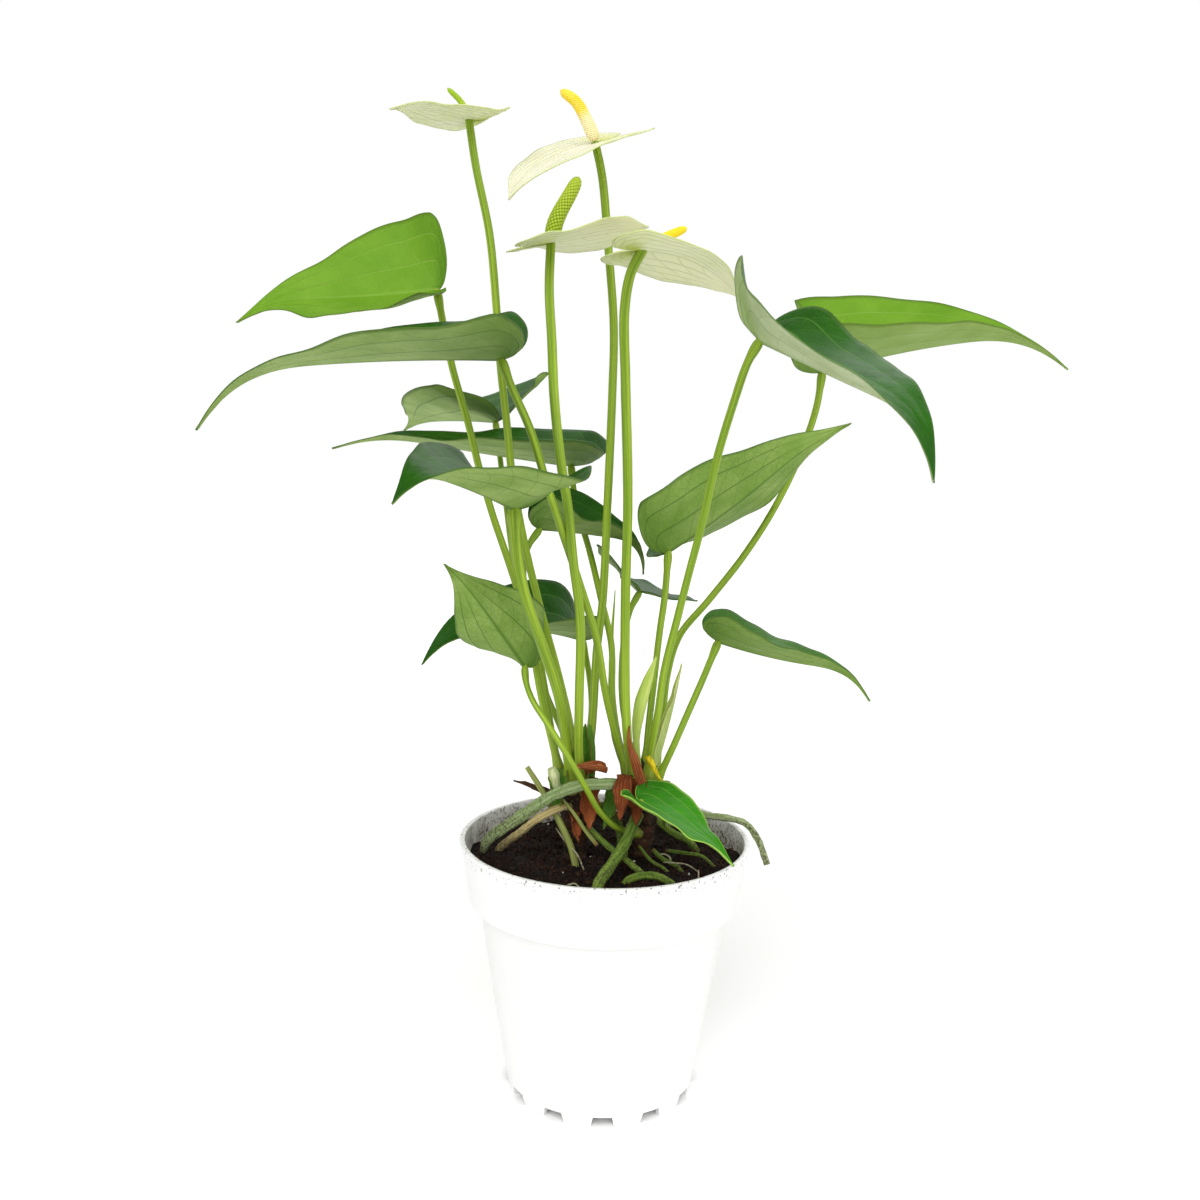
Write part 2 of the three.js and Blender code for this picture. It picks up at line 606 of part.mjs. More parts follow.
// Crown: a stubby rhizome, ringed by old leaf scars
function crown({ at, radius, top }, extra = 0) {
  const foot = soilTop - 7;
  const slim = 0.62;
  const profile = [[0, foot - extra], [slim * radius + extra, foot - extra]];
  const scars = 9;
  for (let i = 1; i < scars; i++) {
    const t = i / scars;
    const width = radius * (slim + (1 - slim) * smooth(t, 0, 0.7)) + (i % 2 ? 0.5 : -0.2);
    profile.push([width + extra, foot + t * (top - foot - 3)]);
  }
  profile.push([0.55 * radius + extra, top - 1 + extra], [0, top + extra]);
  const points = profile.map(([r, z]) => new THREE.Vector2(r, z));
  const geometry = new THREE.LatheGeometry(points, 12).rotateX(Math.PI / 2);
  return toSolid(geometry.translate(at[0], at[1], 0));
}

// Assembly
const plant = new THREE.Group();

function add(name, solid, finish) {
  const material = new THREE.MeshStandardMaterial(finishes[finish]);
  const mesh = new THREE.Mesh(toGeometry(solid), material);
  mesh.name = name;
  plant.add(mesh);
}

const crownClear = Object.values(crowns)
  .map((shape) => crown(shape, clearance))
  .reduce((all, one) => all.add(one));
let soilSolid = soil();

add('pot', pot(), 'pot');
for (const [name, shape] of Object.entries(crowns)) {
  add(name, crown(shape), 'crown');
  soilSolid = soilSolid.subtract(crown(shape, clearance));
}

// The room that a stem leaves for its blade, a little longer at the sinus
function clearBlade(shape, outline, thickness) {
  const room = blade(shape, outline, thickness + 2 * clearance);
  const back = new THREE.Vector3()
    .setFromMatrixColumn(bladeFrame(shape), 0)
    .multiplyScalar(-1.5 * clearance);
  const behind = room.clone().translate(back.x, back.y, back.z);
  return toSolid(room).add(toSolid(behind));
}

const leafNames = Object.keys(leaves);
Object.entries(petioles).forEach(([name, route], i) => {
  const shape = leaves[leafNames[i]];
  const swell = (t) => 1 + 0.5 * (1 - smooth(t, 0, 0.12)) + 0.12 * smooth(t, 0.9, 1);
  const whole = toSolid(stem(route, { swell }));
  const cut = whole.subtract(crownClear).subtract(clearBlade(shape, leafOutline, bladeThickness));
  add(name, largest(cut), 'stem');
  add(leafNames[i], toSolid(blade(shape, leafOutline, bladeThickness)), shape.finish);
});

const spatheNames = Object.keys(blooms);
Object.entries(peduncles).forEach(([name, route], i) => {
  const shape = blooms[spatheNames[i]];
  const spatheClear = clearBlade(shape, spatheOutline, spatheThickness);
  const cut = toSolid(stem(route)).subtract(crownClear).subtract(spatheClear);
  add(name, largest(cut), 'stem');
  add(spatheNames[i], toSolid(blade(shape, spatheOutline, spatheThickness)), shape.finish);
  const rod = spadices[`spadix_${i + 1}`];
  add(`spadix_${i + 1}`, largest(toSolid(spadix(rod)).subtract(spatheClear)), rod.finish);
});

const rootReach = 8;
for (const [name, [radius, route, finish]] of Object.entries(roots)) {
  const whole = toSolid(stem([radius, route], { reach: rootReach }));
  const hole = toSolid(stem([radius, route], { reach: rootReach, extra: clearance }));
  add(name, largest(whole.subtract(crownClear)), finish);
  soilSolid = soilSolid.subtract(hole);
}

add('petiole_stub', toSolid(stem(stub, { reach: rootReach })), 'stem');
soilSolid = soilSolid.subtract(toSolid(stem(stub, { reach: rootReach, extra: clearance })));
const spearSolid = toSolid(stem(spear, { swell: (t) => 1.25 - t }));
add('new_leaf_spear', largest(spearSolid.subtract(crownClear)), 'stem');
const budSwell = (t) => (t < 0.5 ? 1 : 0.3 + 1.9 * Math.sin(Math.PI * Math.min((1 - t) / 0.6, 1)));
const budSolid = toSolid(stem(bud, { sides: 8, reach: 5, swell: budSwell }));
add('leaf_bud', largest(budSolid.subtract(crownClear)), 'paleSheath');
for (const [name, shape] of Object.entries(sheaths)) {
  const scale = toSolid(blade(shape, sheathOutline, bladeThickness));
  add(name, largest(scale.subtract(crownClear)), shape.finish);
}
add('soil', largest(soilSolid), 'soil');

export default plant;
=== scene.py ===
# A potted anthurium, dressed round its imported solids: finer blades, stems, florets,
# roots, soil and pot. The dictionaries are in millimetres and degrees, the scene in
# metres. A heading of 0 points to +X and 90 to +Y, a positive pitch points up.

import math
import random

import bmesh
import bpy
import numpy as np
from mathutils import Matrix, Vector


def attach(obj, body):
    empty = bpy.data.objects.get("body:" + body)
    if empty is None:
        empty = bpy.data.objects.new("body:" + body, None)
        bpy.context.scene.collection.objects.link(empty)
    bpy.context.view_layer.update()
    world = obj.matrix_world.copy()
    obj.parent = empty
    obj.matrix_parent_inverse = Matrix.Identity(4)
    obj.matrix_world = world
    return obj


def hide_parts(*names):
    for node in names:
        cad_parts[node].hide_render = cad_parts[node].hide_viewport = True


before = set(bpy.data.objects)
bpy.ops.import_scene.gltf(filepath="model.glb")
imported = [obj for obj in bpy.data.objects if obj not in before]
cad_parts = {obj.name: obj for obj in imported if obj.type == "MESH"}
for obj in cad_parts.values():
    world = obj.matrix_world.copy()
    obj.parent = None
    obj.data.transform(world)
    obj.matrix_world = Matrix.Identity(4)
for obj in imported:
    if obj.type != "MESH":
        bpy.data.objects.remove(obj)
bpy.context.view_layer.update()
scene = bpy.context.scene
mm = 0.001


# Small helpers

def linear(hexValue):
    parts = [int(hexValue[i:i + 2], 16) / 255 for i in (1, 3, 5)]
    return [p / 12.92 if p <= 0.04045 else ((p + 0.055) / 1.055) ** 2.4 for p in parts] + [1]


# The scale of a pattern whose features are size mm apart
def every(size):
    return 1 / (size * mm)


usualSettings = {"ShaderNodeMix": {"data_type": "RGBA"}}    # every mix here is one of colours


# The first socket in use, or the first of that name. A number picks among equal names
def findSocket(sockets, key):
    if isinstance(key, int):
        return sockets[key]
    return next(socket for socket in sockets if socket.enabled and key in ("", socket.name))


# One node. A setting is a property, an input's value, a hex colour, or "@node" or
# "@node.output" for the node that feeds the input, several of them in a list
def addNode(tree, name, kind, settings):
    node = tree.nodes.new(kind)
    node.name = name
    for key, value in {**usualSettings.get(kind, {}), **settings}.items():
        if isinstance(key, str) and key not in node.inputs:
            setattr(node, key, value)
            continue
        socket = findSocket(node.inputs, key)
        for item in value if isinstance(value, list) else [value]:
            if isinstance(item, str) and item.startswith("@"):
                source, _, output = item[1:].partition(".")
                tree.links.new(findSocket(tree.nodes[source].outputs, output), socket)
            elif isinstance(item, str) and item.startswith("#"):
                socket.default_value = linear(item)
            else:
                socket.default_value = item
    return node


def addNodes(tree, nodes):
    for name, (kind, settings) in nodes.items():
        addNode(tree, name, kind, settings)
    return tree


# A finish from its named nodes: "skin" is the colour, "dull" the roughness and "height"
# the relief, which is relief mm high
def makeFinish(name, nodes, relief, settings):
    material = bpy.data.materials.new(name)
    material.use_nodes = True
    tree = material.node_tree
    tree.nodes.clear()
    addNode(tree, "place", "ShaderNodeTexCoord", {})
    addNodes(tree, nodes)
    addNodes(tree, {
        "bump": ("ShaderNodeBump", {"Distance": relief * mm, "Height": "@height"}),
        "surface": ("ShaderNodeBsdfPrincipled",
                    {"Base Color": "@skin", "Roughness": "@dull", "Normal": "@bump", **settings}),
        "out": ("ShaderNodeOutputMaterial", {"Surface": "@surface"}),
    })
    return material


# How far light goes into living tissue, red and green further than blue
livingTissue = {"IOR": 1.45, "Subsurface Scale": mm, "Subsurface Radius": (0.9, 1.0, 0.25)}


# A finished mesh becomes a piece of the one body, in the place of the nodes it stands for
def makePiece(name, mesh, finish, nodes):
    piece = bpy.data.objects.new(name, mesh)
    scene.collection.objects.link(piece)
    mesh.materials.clear()
    mesh.materials.append(finish)
    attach(piece, "root")
    if nodes:
        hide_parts(*nodes)
    return piece


def setAttribute(mesh, name, values):
    mesh.attributes.new(name, "FLOAT", "POINT").data.foreach_set("value", np.asarray(values, np.float32))


def smoothstep(x, low, high):
    t = np.clip((x - low) / (high - low), 0, 1)
    return t * t * (3 - 2 * t)


# Camera, floor and light

camera = {
    "place": (0, -482, 272),
    "down": 7.87,      # below the horizon
    "turn": 0.48,      # to the left
    "roll": 1.23,
    "focal": 1203,     # in pixels of the picture
    "picture": 1200,
    "sensor": 36,
}


def placeCamera():
    data = bpy.data.cameras.new("camera")
    data.sensor_width = camera["sensor"]
    data.lens = camera["focal"] / camera["picture"] * camera["sensor"]
    eye = bpy.data.objects.new("camera", data)
    scene.collection.objects.link(eye)
    turn = Matrix.Rotation(math.radians(camera["turn"]), 4, "Z")
    tilt = Matrix.Rotation(math.radians(90 - camera["down"]), 4, "X")
    roll = Matrix.Rotation(math.radians(camera["roll"]), 4, "Z")
    eye.matrix_world = Matrix.Translation(Vector(camera["place"]) * mm) @ turn @ tilt @ roll
    scene.camera = eye
    print("camera")


studio = {
    "floorSize": 12000,
    "floorColour": "#FBFBFA",
    "ambient": 0.62,    # light of the white room on the plant, which the camera sees as plain white
    # name: where the light comes from, strength and softness in degrees
    "lamps": {
        "key": ((-250, -1000, 900), 2.0, 55),
        "fill": ((900, -800, 450), 0.9, 70),
        "back": ((300, 900, 700), 0.6, 50),
    },
}


def lightStudio():
    half = studio["floorSize"] / 2 * mm
    corners = [(-half, -half, 0), (half, -half, 0), (half, half, 0), (-half, half, 0)]
    mesh = bpy.data.meshes.new("floor")
    mesh.from_pydata(corners, [], [(0, 1, 2, 3)])
    floor = bpy.data.objects.new("floor", mesh)
    scene.collection.objects.link(floor)
    # Matt white backdrop paper, plain and hardly shining. Its faint tooth is drawn coarse, to show
    mesh.materials.append(makeFinish("matt white backdrop paper", {
        "height": ("ShaderNodeTexNoise", {"Vector": "@place.Object", "Scale": every(2)}),
        "dull": ("ShaderNodeMapRange", {"Value": "@height", "To Min": 0.85, "To Max": 0.95}),
    }, 0.01, {"Base Color": studio["floorColour"], "Specular IOR Level": 0.1}))
    for name, (place, strength, softness) in studio["lamps"].items():
        data = bpy.data.lights.new(name, "SUN")
        data.energy = strength
        data.angle = math.radians(softness)
        lamp = bpy.data.objects.new(name, data)
        scene.collection.objects.link(lamp)
        lamp.location = Vector(place) * mm
        lamp.rotation_euler = lamp.location.to_track_quat("Z", "Y").to_euler()
    world = bpy.data.worlds.new("white room")
    world.use_nodes = True
    world.node_tree.nodes.clear()
    addNodes(world.node_tree, {
        "ray": ("ShaderNodeLightPath", {}),
        "cast": ("ShaderNodeBackground", {"Color": "#FFFFFF", "Strength": studio["ambient"]}),
        "seen": ("ShaderNodeBackground", {"Color": "#FFFFFF", "Strength": 1.0}),
        "both": ("ShaderNodeMixShader", {0: "@ray.Is Camera Ray", 1: "@cast", 2: "@seen"}),
        "out": ("ShaderNodeOutputWorld", {"Surface": "@both"}),
    })
    scene.world = world
    scene.view_settings.view_transform = "Standard"
    print("studio")


# Blades: the leaves, spathes and sheaths. Each outline is one half, from the petiole
# round the lobe to the tip, as curves in fractions of the midrib's length

leafOutline = {
    "curves": (
        ((0, 0), (-0.05, 0), (-0.17, 0.05), (-0.165, 0.19)),
        ((-0.165, 0.19), (-0.16, 0.33), (-0.02, 0.41), (0.12, 0.405)),
        ((0.12, 0.405), (0.36, 0.395), (0.58, 0.19), (0.8, 0.07)),
        ((0.8, 0.07), (0.88, 0.027), (0.95, 0.012), (1, 0)),
    ),
    "steps": (10, 14, 26, 14),
    "rings": 16,
    "thickness": (0.75, 0.38),    # at the midrib and at the margin
    "rib": (0.75, 1.5),           # height and half width of the midrib below the blade
    "arcs": (0, 0.4, 0.74, 1.15), # where the long curved veins run, midrib 0, margin 1
    "laterals": 13,
    "sweep": 1.7,                 # how far a side vein runs on towards the tip
    "sunk": 0.28,                 # depth of the veins' furrows
    "wave": 1.76,                 # height of the margin's waves
}
spatheOutline = {
    "curves": (
        ((0, 0), (-0.12, 0), (-0.38, 0.03), (-0.4, 0.19)),
        ((-0.4, 0.19), (-0.41, 0.35), (-0.22, 0.45), (0.02, 0.45)),
        ((0.02, 0.45), (0.36, 0.45), (0.66, 0.29), (0.86, 0.1)),
        ((0.86, 0.1), (0.92, 0.045), (0.96, 0.02), (1, 0)),
    ),
    "steps": (12, 14, 24, 10),
    "rings": 16,
    "thickness": (0.7, 0.4),
    "rib": (0.35, 1.0),
    "arcs": (0, 0.27, 0.5, 0.71, 0.88, 1.1),
    "laterals": 9,
    "sweep": 2.4,
    "sunk": 0.22,
    "wave": 0.8,
}
sheathOutline = {
    "curves": (
        ((0, 0), (0, 0.1), (0, 0.3), (0.05, 0.38)),
        ((0.05, 0.38), (0.12, 0.42), (0.2, 0.42), (0.35, 0.39)),
        ((0.35, 0.39), (0.55, 0.34), (0.75, 0.2), (0.88, 0.09)),
        ((0.88, 0.09), (0.92, 0.06), (0.97, 0.02), (1, 0)),
    ),
    "steps": (5, 8, 16, 6),
    "rings": 9,
    "thickness": (0.7, 0.35),
    "rib": (0, 1),
    "arcs": (0, 0.25, 0.5, 0.75, 1.1),
    "laterals": 3,
    "sweep": 0.5,
    "sunk": 0.15,
    "wave": 1.12,
}
# Shares of a blade's length
nominalWidth = 0.4         # half width of the outline above, before a leaf's own width
lobeLength = 0.165         # of a basal lobe, behind the petiole
tipBend = (0.55, 1.05)     # where the tip's bend begins and ends
lobeFold = (-0.12, 0.18)   # where the fold of the lobes levels out
firstRay = 0.1             # points of the margin behind this have their rays from the petiole
ribStart = (-0.02, 0.01)   # where the rib under the blade rises
# How forms change over a blade
ribLoss = 0.85             # how much of its height the rib loses to the tip
sideArch = 1.6             # curve of the side veins, where 1 is straight
thinning = 1.5             # the more, the sooner a blade thins beside its midrib
bendSteps = 24             # steps in which a midrib's bend adds up


# One blade: where it is, length, heading, pitch and bends. left and right say how far
# each half rises from the level, curl how much it goes on curving, lobe how far the
# basal lobes fold up, droop and tip how the midrib bends down, back how the lobes do.
# heel shortens the lobes, rightLobe folds the right one further, twist turns the tip
def leaf(at, length, heading, pitch, **bends):
    plain = {"heel": 1, "rightLobe": 0, "twist": 0}
    return {"at": at, "length": length, "heading": heading, "pitch": pitch, **plain, **bends}


leaves = {
    "leaf_01": leaf((-74, 25, 329), 88, 175, -7,
        left=-24, right=58, curl=20, lobe=9, droop=-9, tip=34, back=10, width=0.38,
        heel=0.43, rightLobe=14, twist=-13,
        look="youngLeaf"),
    "leaf_02": leaf((-41, -45, 298), 118, 181, 0,
        left=3, right=16, curl=12, lobe=10, droop=10, tip=48, back=17, width=0.38,
        heel=0.53, rightLobe=-1, twist=1,
        look="leaf"),
    "leaf_03": leaf((-57, 102, 277), 103, 125, 2,
        left=12, right=27, curl=10, lobe=12, droop=6, tip=10, back=50, width=0.38,
        look="leaf"),
    "leaf_04": leaf((-19, 62, 258), 112, 174, 6,
        left=6, right=14, curl=12, lobe=8, droop=-4, tip=28, back=30, width=0.34,
        look="leaf"),
    "leaf_05": leaf((-35, -52, 245), 73, 242, 18,
        left=7, right=30, curl=14, lobe=23, droop=10, tip=49, back=30, width=0.47,
        heel=0.54, rightLobe=-26, twist=6,
        look="leaf"),
    "leaf_06": leaf((-30, 25, 232), 60, 26, -5,
        left=58, right=13, curl=12, lobe=30, droop=7, tip=80, back=24, width=0.36,
        look="leaf"),
    "leaf_07": leaf((13, 34, 205), 66, 97, -2,
        left=44, right=-13, curl=3, lobe=2, droop=-7, tip=16, back=10, width=0.4,
        look="leaf"),
    "leaf_08": leaf((24, 20, 224), 93, 4, 34,
        left=-14, right=33, curl=13, lobe=14, droop=-13, tip=22, back=17, width=0.38,
        heel=0.55, twist=-36,
        look="palerLeaf"),
    "leaf_09": leaf((51, -48, 306), 91, -46, -22,
        left=1, right=27, curl=11, lobe=22, droop=-1, tip=60, back=-12, width=0.41,
        heel=0.49, rightLobe=3, twist=19,
        look="silverLeaf"),
    "leaf_10": leaf((90, 50, 301), 112, 2, 18,
        left=42, right=10, curl=14, lobe=15, droop=18, tip=38, back=40, width=0.36,
        look="youngLeaf"),
    "leaf_11": leaf((45, 5, 189), 68, -7, -17,
        left=12, right=22, curl=4, lobe=10, droop=-18, tip=60, back=30, width=0.4,
        look="palerLeaf"),
    "leaf_12": leaf((-33, -17, 181), 66, 237, 45,
        left=60, right=-9, curl=28, lobe=29, droop=2, tip=9, back=8, width=0.33,
        heel=0.66, rightLobe=10, twist=39,
        look="palerLeaf"),
    "leaf_13": leaf((-12, 48, 181), 77, 190, 17,
        left=19, right=26, curl=11, lobe=4, droop=38, tip=36, back=54, width=0.42,
        heel=0.52, rightLobe=-36, twist=-35,
        look="leaf"),
    "leaf_14": leaf((14, -24, 129), 45, -30, -16,
        left=2, right=12, curl=18, lobe=6, droop=8, tip=20, back=30, width=0.42,
        look="freshLeaf"),
}
blooms = {
    "spathe_1": leaf((-61, 22, 396), 35, 215, 3,
        left=-2, right=-6, curl=2, lobe=2, droop=2, tip=25, back=20, width=0.46,
        look="spathe"),
    "spathe_2": leaf((-10, 25, 388), 49, 214, -20,
        left=-5, right=10, curl=2, lobe=2, droop=18, tip=24, back=0, width=0.45,
        look="spathe"),
    "spathe_3": leaf((-26, -2, 345), 40, 14, 13,
        left=-2, right=-4, curl=4, lobe=4, droop=1, tip=3, back=1, width=0.5, twist=-28,
        look="spathe"),
    "spathe_4": leaf((9, -28, 339), 43, 11, 3,
        left=-18, right=-3, curl=6, lobe=8, droop=50, tip=5, back=2, width=0.49,
        heel=0.78, twist=-8,
        look="spathe"),
}
sheaths = {
    "cataphyll": leaf((21, 4, 136), 44, 8, 74,
        left=30, right=30, curl=40, lobe=0, droop=-8, tip=0, back=0, width=0.1,
        look="paleSheath"),
    "dry_sheath_1": leaf((13, -18, 134), 25, 196, 68,
        left=30, right=30, curl=40, lobe=0, droop=-16, tip=-20, back=0, width=0.16,
        look="drySheath"),
    "dry_sheath_2": leaf((0, -17, 138.5), 14, 188, 18,
        left=30, right=30, curl=40, lobe=0, droop=20, tip=0, back=0, width=0.3,
        look="drySheath"),
    "dry_sheath_3": leaf((-18, 3, 118), 24, 160, 30,
        left=20, right=20, curl=30, lobe=0, droop=20, tip=0, back=0, width=0.14,
        look="darkSheath"),
}
petioles = {
    "petiole_01": (1.5, ((-18, -5, 130), (-22, -4, 146), (-27, -4, 166), (-33, -1, 195), (-41, 4, 218),
        (-49, 12, 238), (-55, 17, 256), (-60, 18, 275), (-67, 20, 298), (-72, 24, 319), (-74, 25, 329))),
    "petiole_02": (1.5, ((10, 0, 130), (5, -6, 146), (-1, -16, 171), (-5, -24, 194), (-12, -32, 217),
        (-23, -46, 251), (-30, -47, 273), (-37, -46, 288), (-41, -45, 298))),
    "petiole_03": (1.3, ((-14, 2, 130), (-18, 9, 146), (-26, 12, 164), (-34, 12, 191), (-39, 18, 208),
        (-44, 40, 226), (-49, 72, 240), (-54, 98, 258), (-57, 102, 277))),
    "petiole_04": (1.4, ((10, 5, 130), (5, 11, 145), (2, 12, 162), (1, 12, 185), (-4, 20, 204),
        (-10, 42, 223), (-16, 55, 240), (-19, 62, 258))),
    "petiole_05": (2.1, ((-14, -6, 128), (-16, -16, 149), (-19, -28, 172), (-25, -38, 193),
        (-31, -48, 213), (-34, -52, 230), (-35, -52, 245))),
    "petiole_06": (1.3, ((-17, -1, 128), (-22, 2, 146), (-26, 4, 168), (-31, 5, 192), (-36, 12, 212),
        (-35, 22, 224), (-30, 25, 232))),
    "petiole_07": (1.2, ((14, 6, 132), (9, 12, 146), (6, 18, 160), (6, 27, 182), (9, 32, 197),
        (13, 34, 205))),
    "petiole_08": (1.4, ((16, 2, 132), (17, 4, 150), (19, 8, 171), (21, 14, 190), (23, 18, 206),
        (24, 20, 224))),
    "petiole_09": (1.5, ((17, -2, 130), (18, -8, 146), (20, -14, 162), (22, -18, 181), (26, -22, 201),
        (30, -27, 221), (34, -31, 240), (38, -36, 263), (43, -42, 284), (47, -46, 298), (51, -48, 306))),
    "petiole_10": (1.5, ((20, 5, 128), (23, 12, 152), (25, 18, 172), (30, 26, 187), (43, 34, 202),
        (58, 40, 221), (71, 44, 242), (82, 48, 266), (88, 50, 285), (90, 50, 301))),
    "petiole_11": (1.4, ((19, -1, 126), (27, -4, 146), (33, -1, 160), (39, 2, 174), (45, 5, 189))),
    "petiole_12": (1.2, ((14, -3, 109), (5, -15, 115), (-2, -23, 124), (-7, -28, 134), (-14, -31, 147),
        (-23, -30, 161), (-29, -26, 169), (-32, -21, 175), (-33, -17, 181))),
    "petiole_13": (1.3, ((-11, 2, 128), (-8, 15, 143), (-7, 28, 156), (-9, 41, 169), (-12, 48, 181))),
    "petiole_14": (1.2, ((15, 0, 122), (15, -13, 124), (14, -24, 129))),
}
peduncles = {
    "peduncle_1": (1.6, ((-12, -3, 131), (-15, -1, 152), (-20, 2, 172), (-28, 5, 199), (-36, 11, 228),
        (-42, 19, 256), (-44, 17, 275), (-47, 16, 301), (-49, 17, 325), (-52, 19, 351), (-58, 21, 378),
        (-61, 22, 396))),
    "peduncle_2": (1.7, ((-8, -1, 130), (-6, 3, 156), (-5, 8, 183), (-3, 10, 204), (-2, 12, 240),
        (-1, 18, 286), (-1, 23, 316), (-4, 25, 348), (-7, 25, 375), (-10, 25, 388))),
    "peduncle_3": (1.8, ((-9, -6, 128), (-11, -17, 146), (-11, -28, 170), (-11, -36, 203), (-14, -40, 226),
        (-16, -42, 244), (-19, -43, 262), (-22, -36, 284), (-24, -22, 306), (-26, -9, 327),
        (-26, -2, 345))),
    "peduncle_4": (1.9, ((12, -2, 130), (9, -13, 146), (7, -19, 168), (6, -18, 210), (6, -17, 247),
        (4, -19, 292), (3, -22, 318), (5, -26, 331), (9, -28, 339))),
}
roots = {
    "root_1": (2.1, ((11, -4, 126), (6, -12, 132), (-1, -18, 134), (-10, -21, 134), (-20, -20, 130),
        (-29, -17, 123), (-39, -11, 114), (-48, -4, 105), (-51, 2, 97), (-51, 4, 91)), "bandRoot"),
    "root_2": (1.6, ((-13, -5, 120), (-18, -15, 123), (-27, -18, 119), (-34, -14, 112), (-40, -6, 105),
        (-44, 0, 99), (-45, 2, 92)), "paleRoot"),
    "root_3": (2.3, ((14, -2, 117), (12, -12, 117), (8, -22, 111), (3, -29, 105), (-2, -35, 99),
        (-4, -38, 92)), "greenRoot"),
    "root_4": (1.9, ((-8, -3, 120), (-1, -4, 120), (5, -5, 114), (7, -5, 106), (8, -5, 98),
        (8, -5, 91)), "greenRoot"),
    "root_5": (1.3, ((-9, -5, 114), (-4, -11, 111), (4, -17, 106), (11, -21, 102), (16, -23, 98),
        (19, -24, 91)), "greenRoot"),
    "root_6": (1.6, ((7, -26, 91), (9, -27, 97), (14, -28, 100), (21, -28, 100), (27, -29, 97),
        (29, -31, 91)), "greenRoot"),
    "root_7": (1.5, ((17, 1, 118), (27, 1, 109), (36, 7, 102), (42, 11, 92)), "greenRoot"),
    "root_8": (1.4, ((18, 3, 117), (27, 9, 115), (36, 12, 114), (44, 13, 112), (53, 13, 111),
        (60, 12, 109), (65, 10, 103), (69, 8, 93)), "greyRoot"),
    "root_9": (1.8, ((17, 4, 124), (26, 13, 119), (36, 21, 109), (40, 25, 100), (41, 27, 92)), "greyRoot"),
}


# Elevation of the midrib against the blade's own level at x
def slope(shape, x):
    ahead = np.maximum(x, 0)
    behind = np.maximum(-x, 0) / lobeLength
    return (-math.radians(shape["droop"]) * ahead
            - math.radians(shape["tip"]) * smoothstep(ahead, *tipBend)
            - math.radians(shape["back"]) * behind)


# Flat outline points to the blade's own frame, in fractions of its length
def bend(shape, x, y, side):
    x = np.where(x < 0, x * shape["heel"], x)
    lobe = shape["lobe"] if side > 0 else shape["lobe"] + shape["rightLobe"]
    rise = (math.radians(shape["left"] if side > 0 else shape["right"])
            + math.radians(lobe) * (1 - smoothstep(x, *lobeFold)))
    turn = math.radians(max(shape["curl"], 0.1)) / shape["width"]
    reach = np.abs(y) * shape["width"] / nominalWidth
    across = (np.sin(rise + turn * reach) - np.sin(rise)) / turn
    lift = (np.cos(rise) - np.cos(rise + turn * reach)) / turn
    along, up = np.zeros_like(x), np.zeros_like(x)
    for i in range(bendSteps):
        angle = slope(shape, x * (i + 0.5) / bendSteps)
        along += np.cos(angle) * x / bendSteps
        up += np.sin(angle) * x / bendSteps
    angle = slope(shape, x)
    twist = math.radians(shape["twist"]) * np.maximum(x, 0)
    height = lift * np.cos(twist) + side * across * np.sin(twist)
    sideways = side * across * np.cos(twist) - lift * np.sin(twist)
    return np.stack([along - np.sin(angle) * height, sideways, up + np.cos(angle) * height], 1)


# The blade's own axes: forward along the midrib, left and up
def bladeFrame(shape):
    heading, pitch = math.radians(shape["heading"]), math.radians(shape["pitch"])
    level = math.cos(pitch)
    forward = np.array([math.cos(heading) * level, math.sin(heading) * level, math.sin(pitch)])
    left = np.array([-math.sin(heading), math.cos(heading), 0])
    return np.stack([forward, left, np.cross(forward, left)])


def outlineHalf(outline):
    points = []
    for i, (corners, steps) in enumerate(zip(outline["curves"], outline["steps"])):
        t = np.linspace(0, 1, steps + 1)[:, None]
        a, b, c, d = (np.array(corner, float) for corner in corners)
        part = (1 - t) ** 3 * a + 3 * t * (1 - t) ** 2 * b + 3 * t * t * (1 - t) * c + t ** 3 * d
        points.append(part if i == 0 else part[1:])
    return np.concatenate(points)


# Where the ray to a point of the margin leaves the midrib
def rayStart(x):
    t = np.maximum((x - firstRay) / (1 - firstRay), 0)
    return t * (1 - firstRay + firstRay * t)


veinRelief = {
    "arcWidth": 0.16,             # half widths of the furrows, in shares of the veins' spacing
    "sideWidth": 0.22,
    "sideDepth": 0.4,             # against the long veins' depth
    "furrowStart": (0.02, 0.14),  # where they sink in beside the midrib, and end at the margin
    "furrowEnd": (0.93, 1.0),
    "waves": (2.3, 4.1, 7.0),     # along each half's margin, the shorter the lower
    "waveStart": (0.0, 0.12),     # where they grow along the margin, and die down again
    "waveEnd": (0.82, 0.97),
}


# Furrows along the veins with swellings between them, and waves that grow to the margin
def bladeRelief(outline, share, reach, arcs, laterals, seed):
    nearArc = np.abs((arcs + 0.5) % 1 - 0.5)
    nearLateral = np.abs((laterals + 0.5) % 1 - 0.5)
    fade = smoothstep(reach, *veinRelief["furrowStart"]) * (1 - smoothstep(reach, *veinRelief["furrowEnd"]))
    furrow = -outline["sunk"] * np.exp(-(nearArc / veinRelief["arcWidth"]) ** 2) * fade
    ripple = -outline["sunk"] * np.exp(-(nearLateral / veinRelief["sideWidth"]) ** 2) * fade
    draw = random.Random(seed)
    wave = sum(np.sin(2 * math.pi * (count * share + draw.random())) / count for count in veinRelief["waves"])
    calm = smoothstep(share, *veinRelief["waveStart"]) * (1 - smoothstep(share, *veinRelief["waveEnd"]))
    return furrow + veinRelief["sideDepth"] * ripple + outline["wave"] * wave * calm * reach ** 3


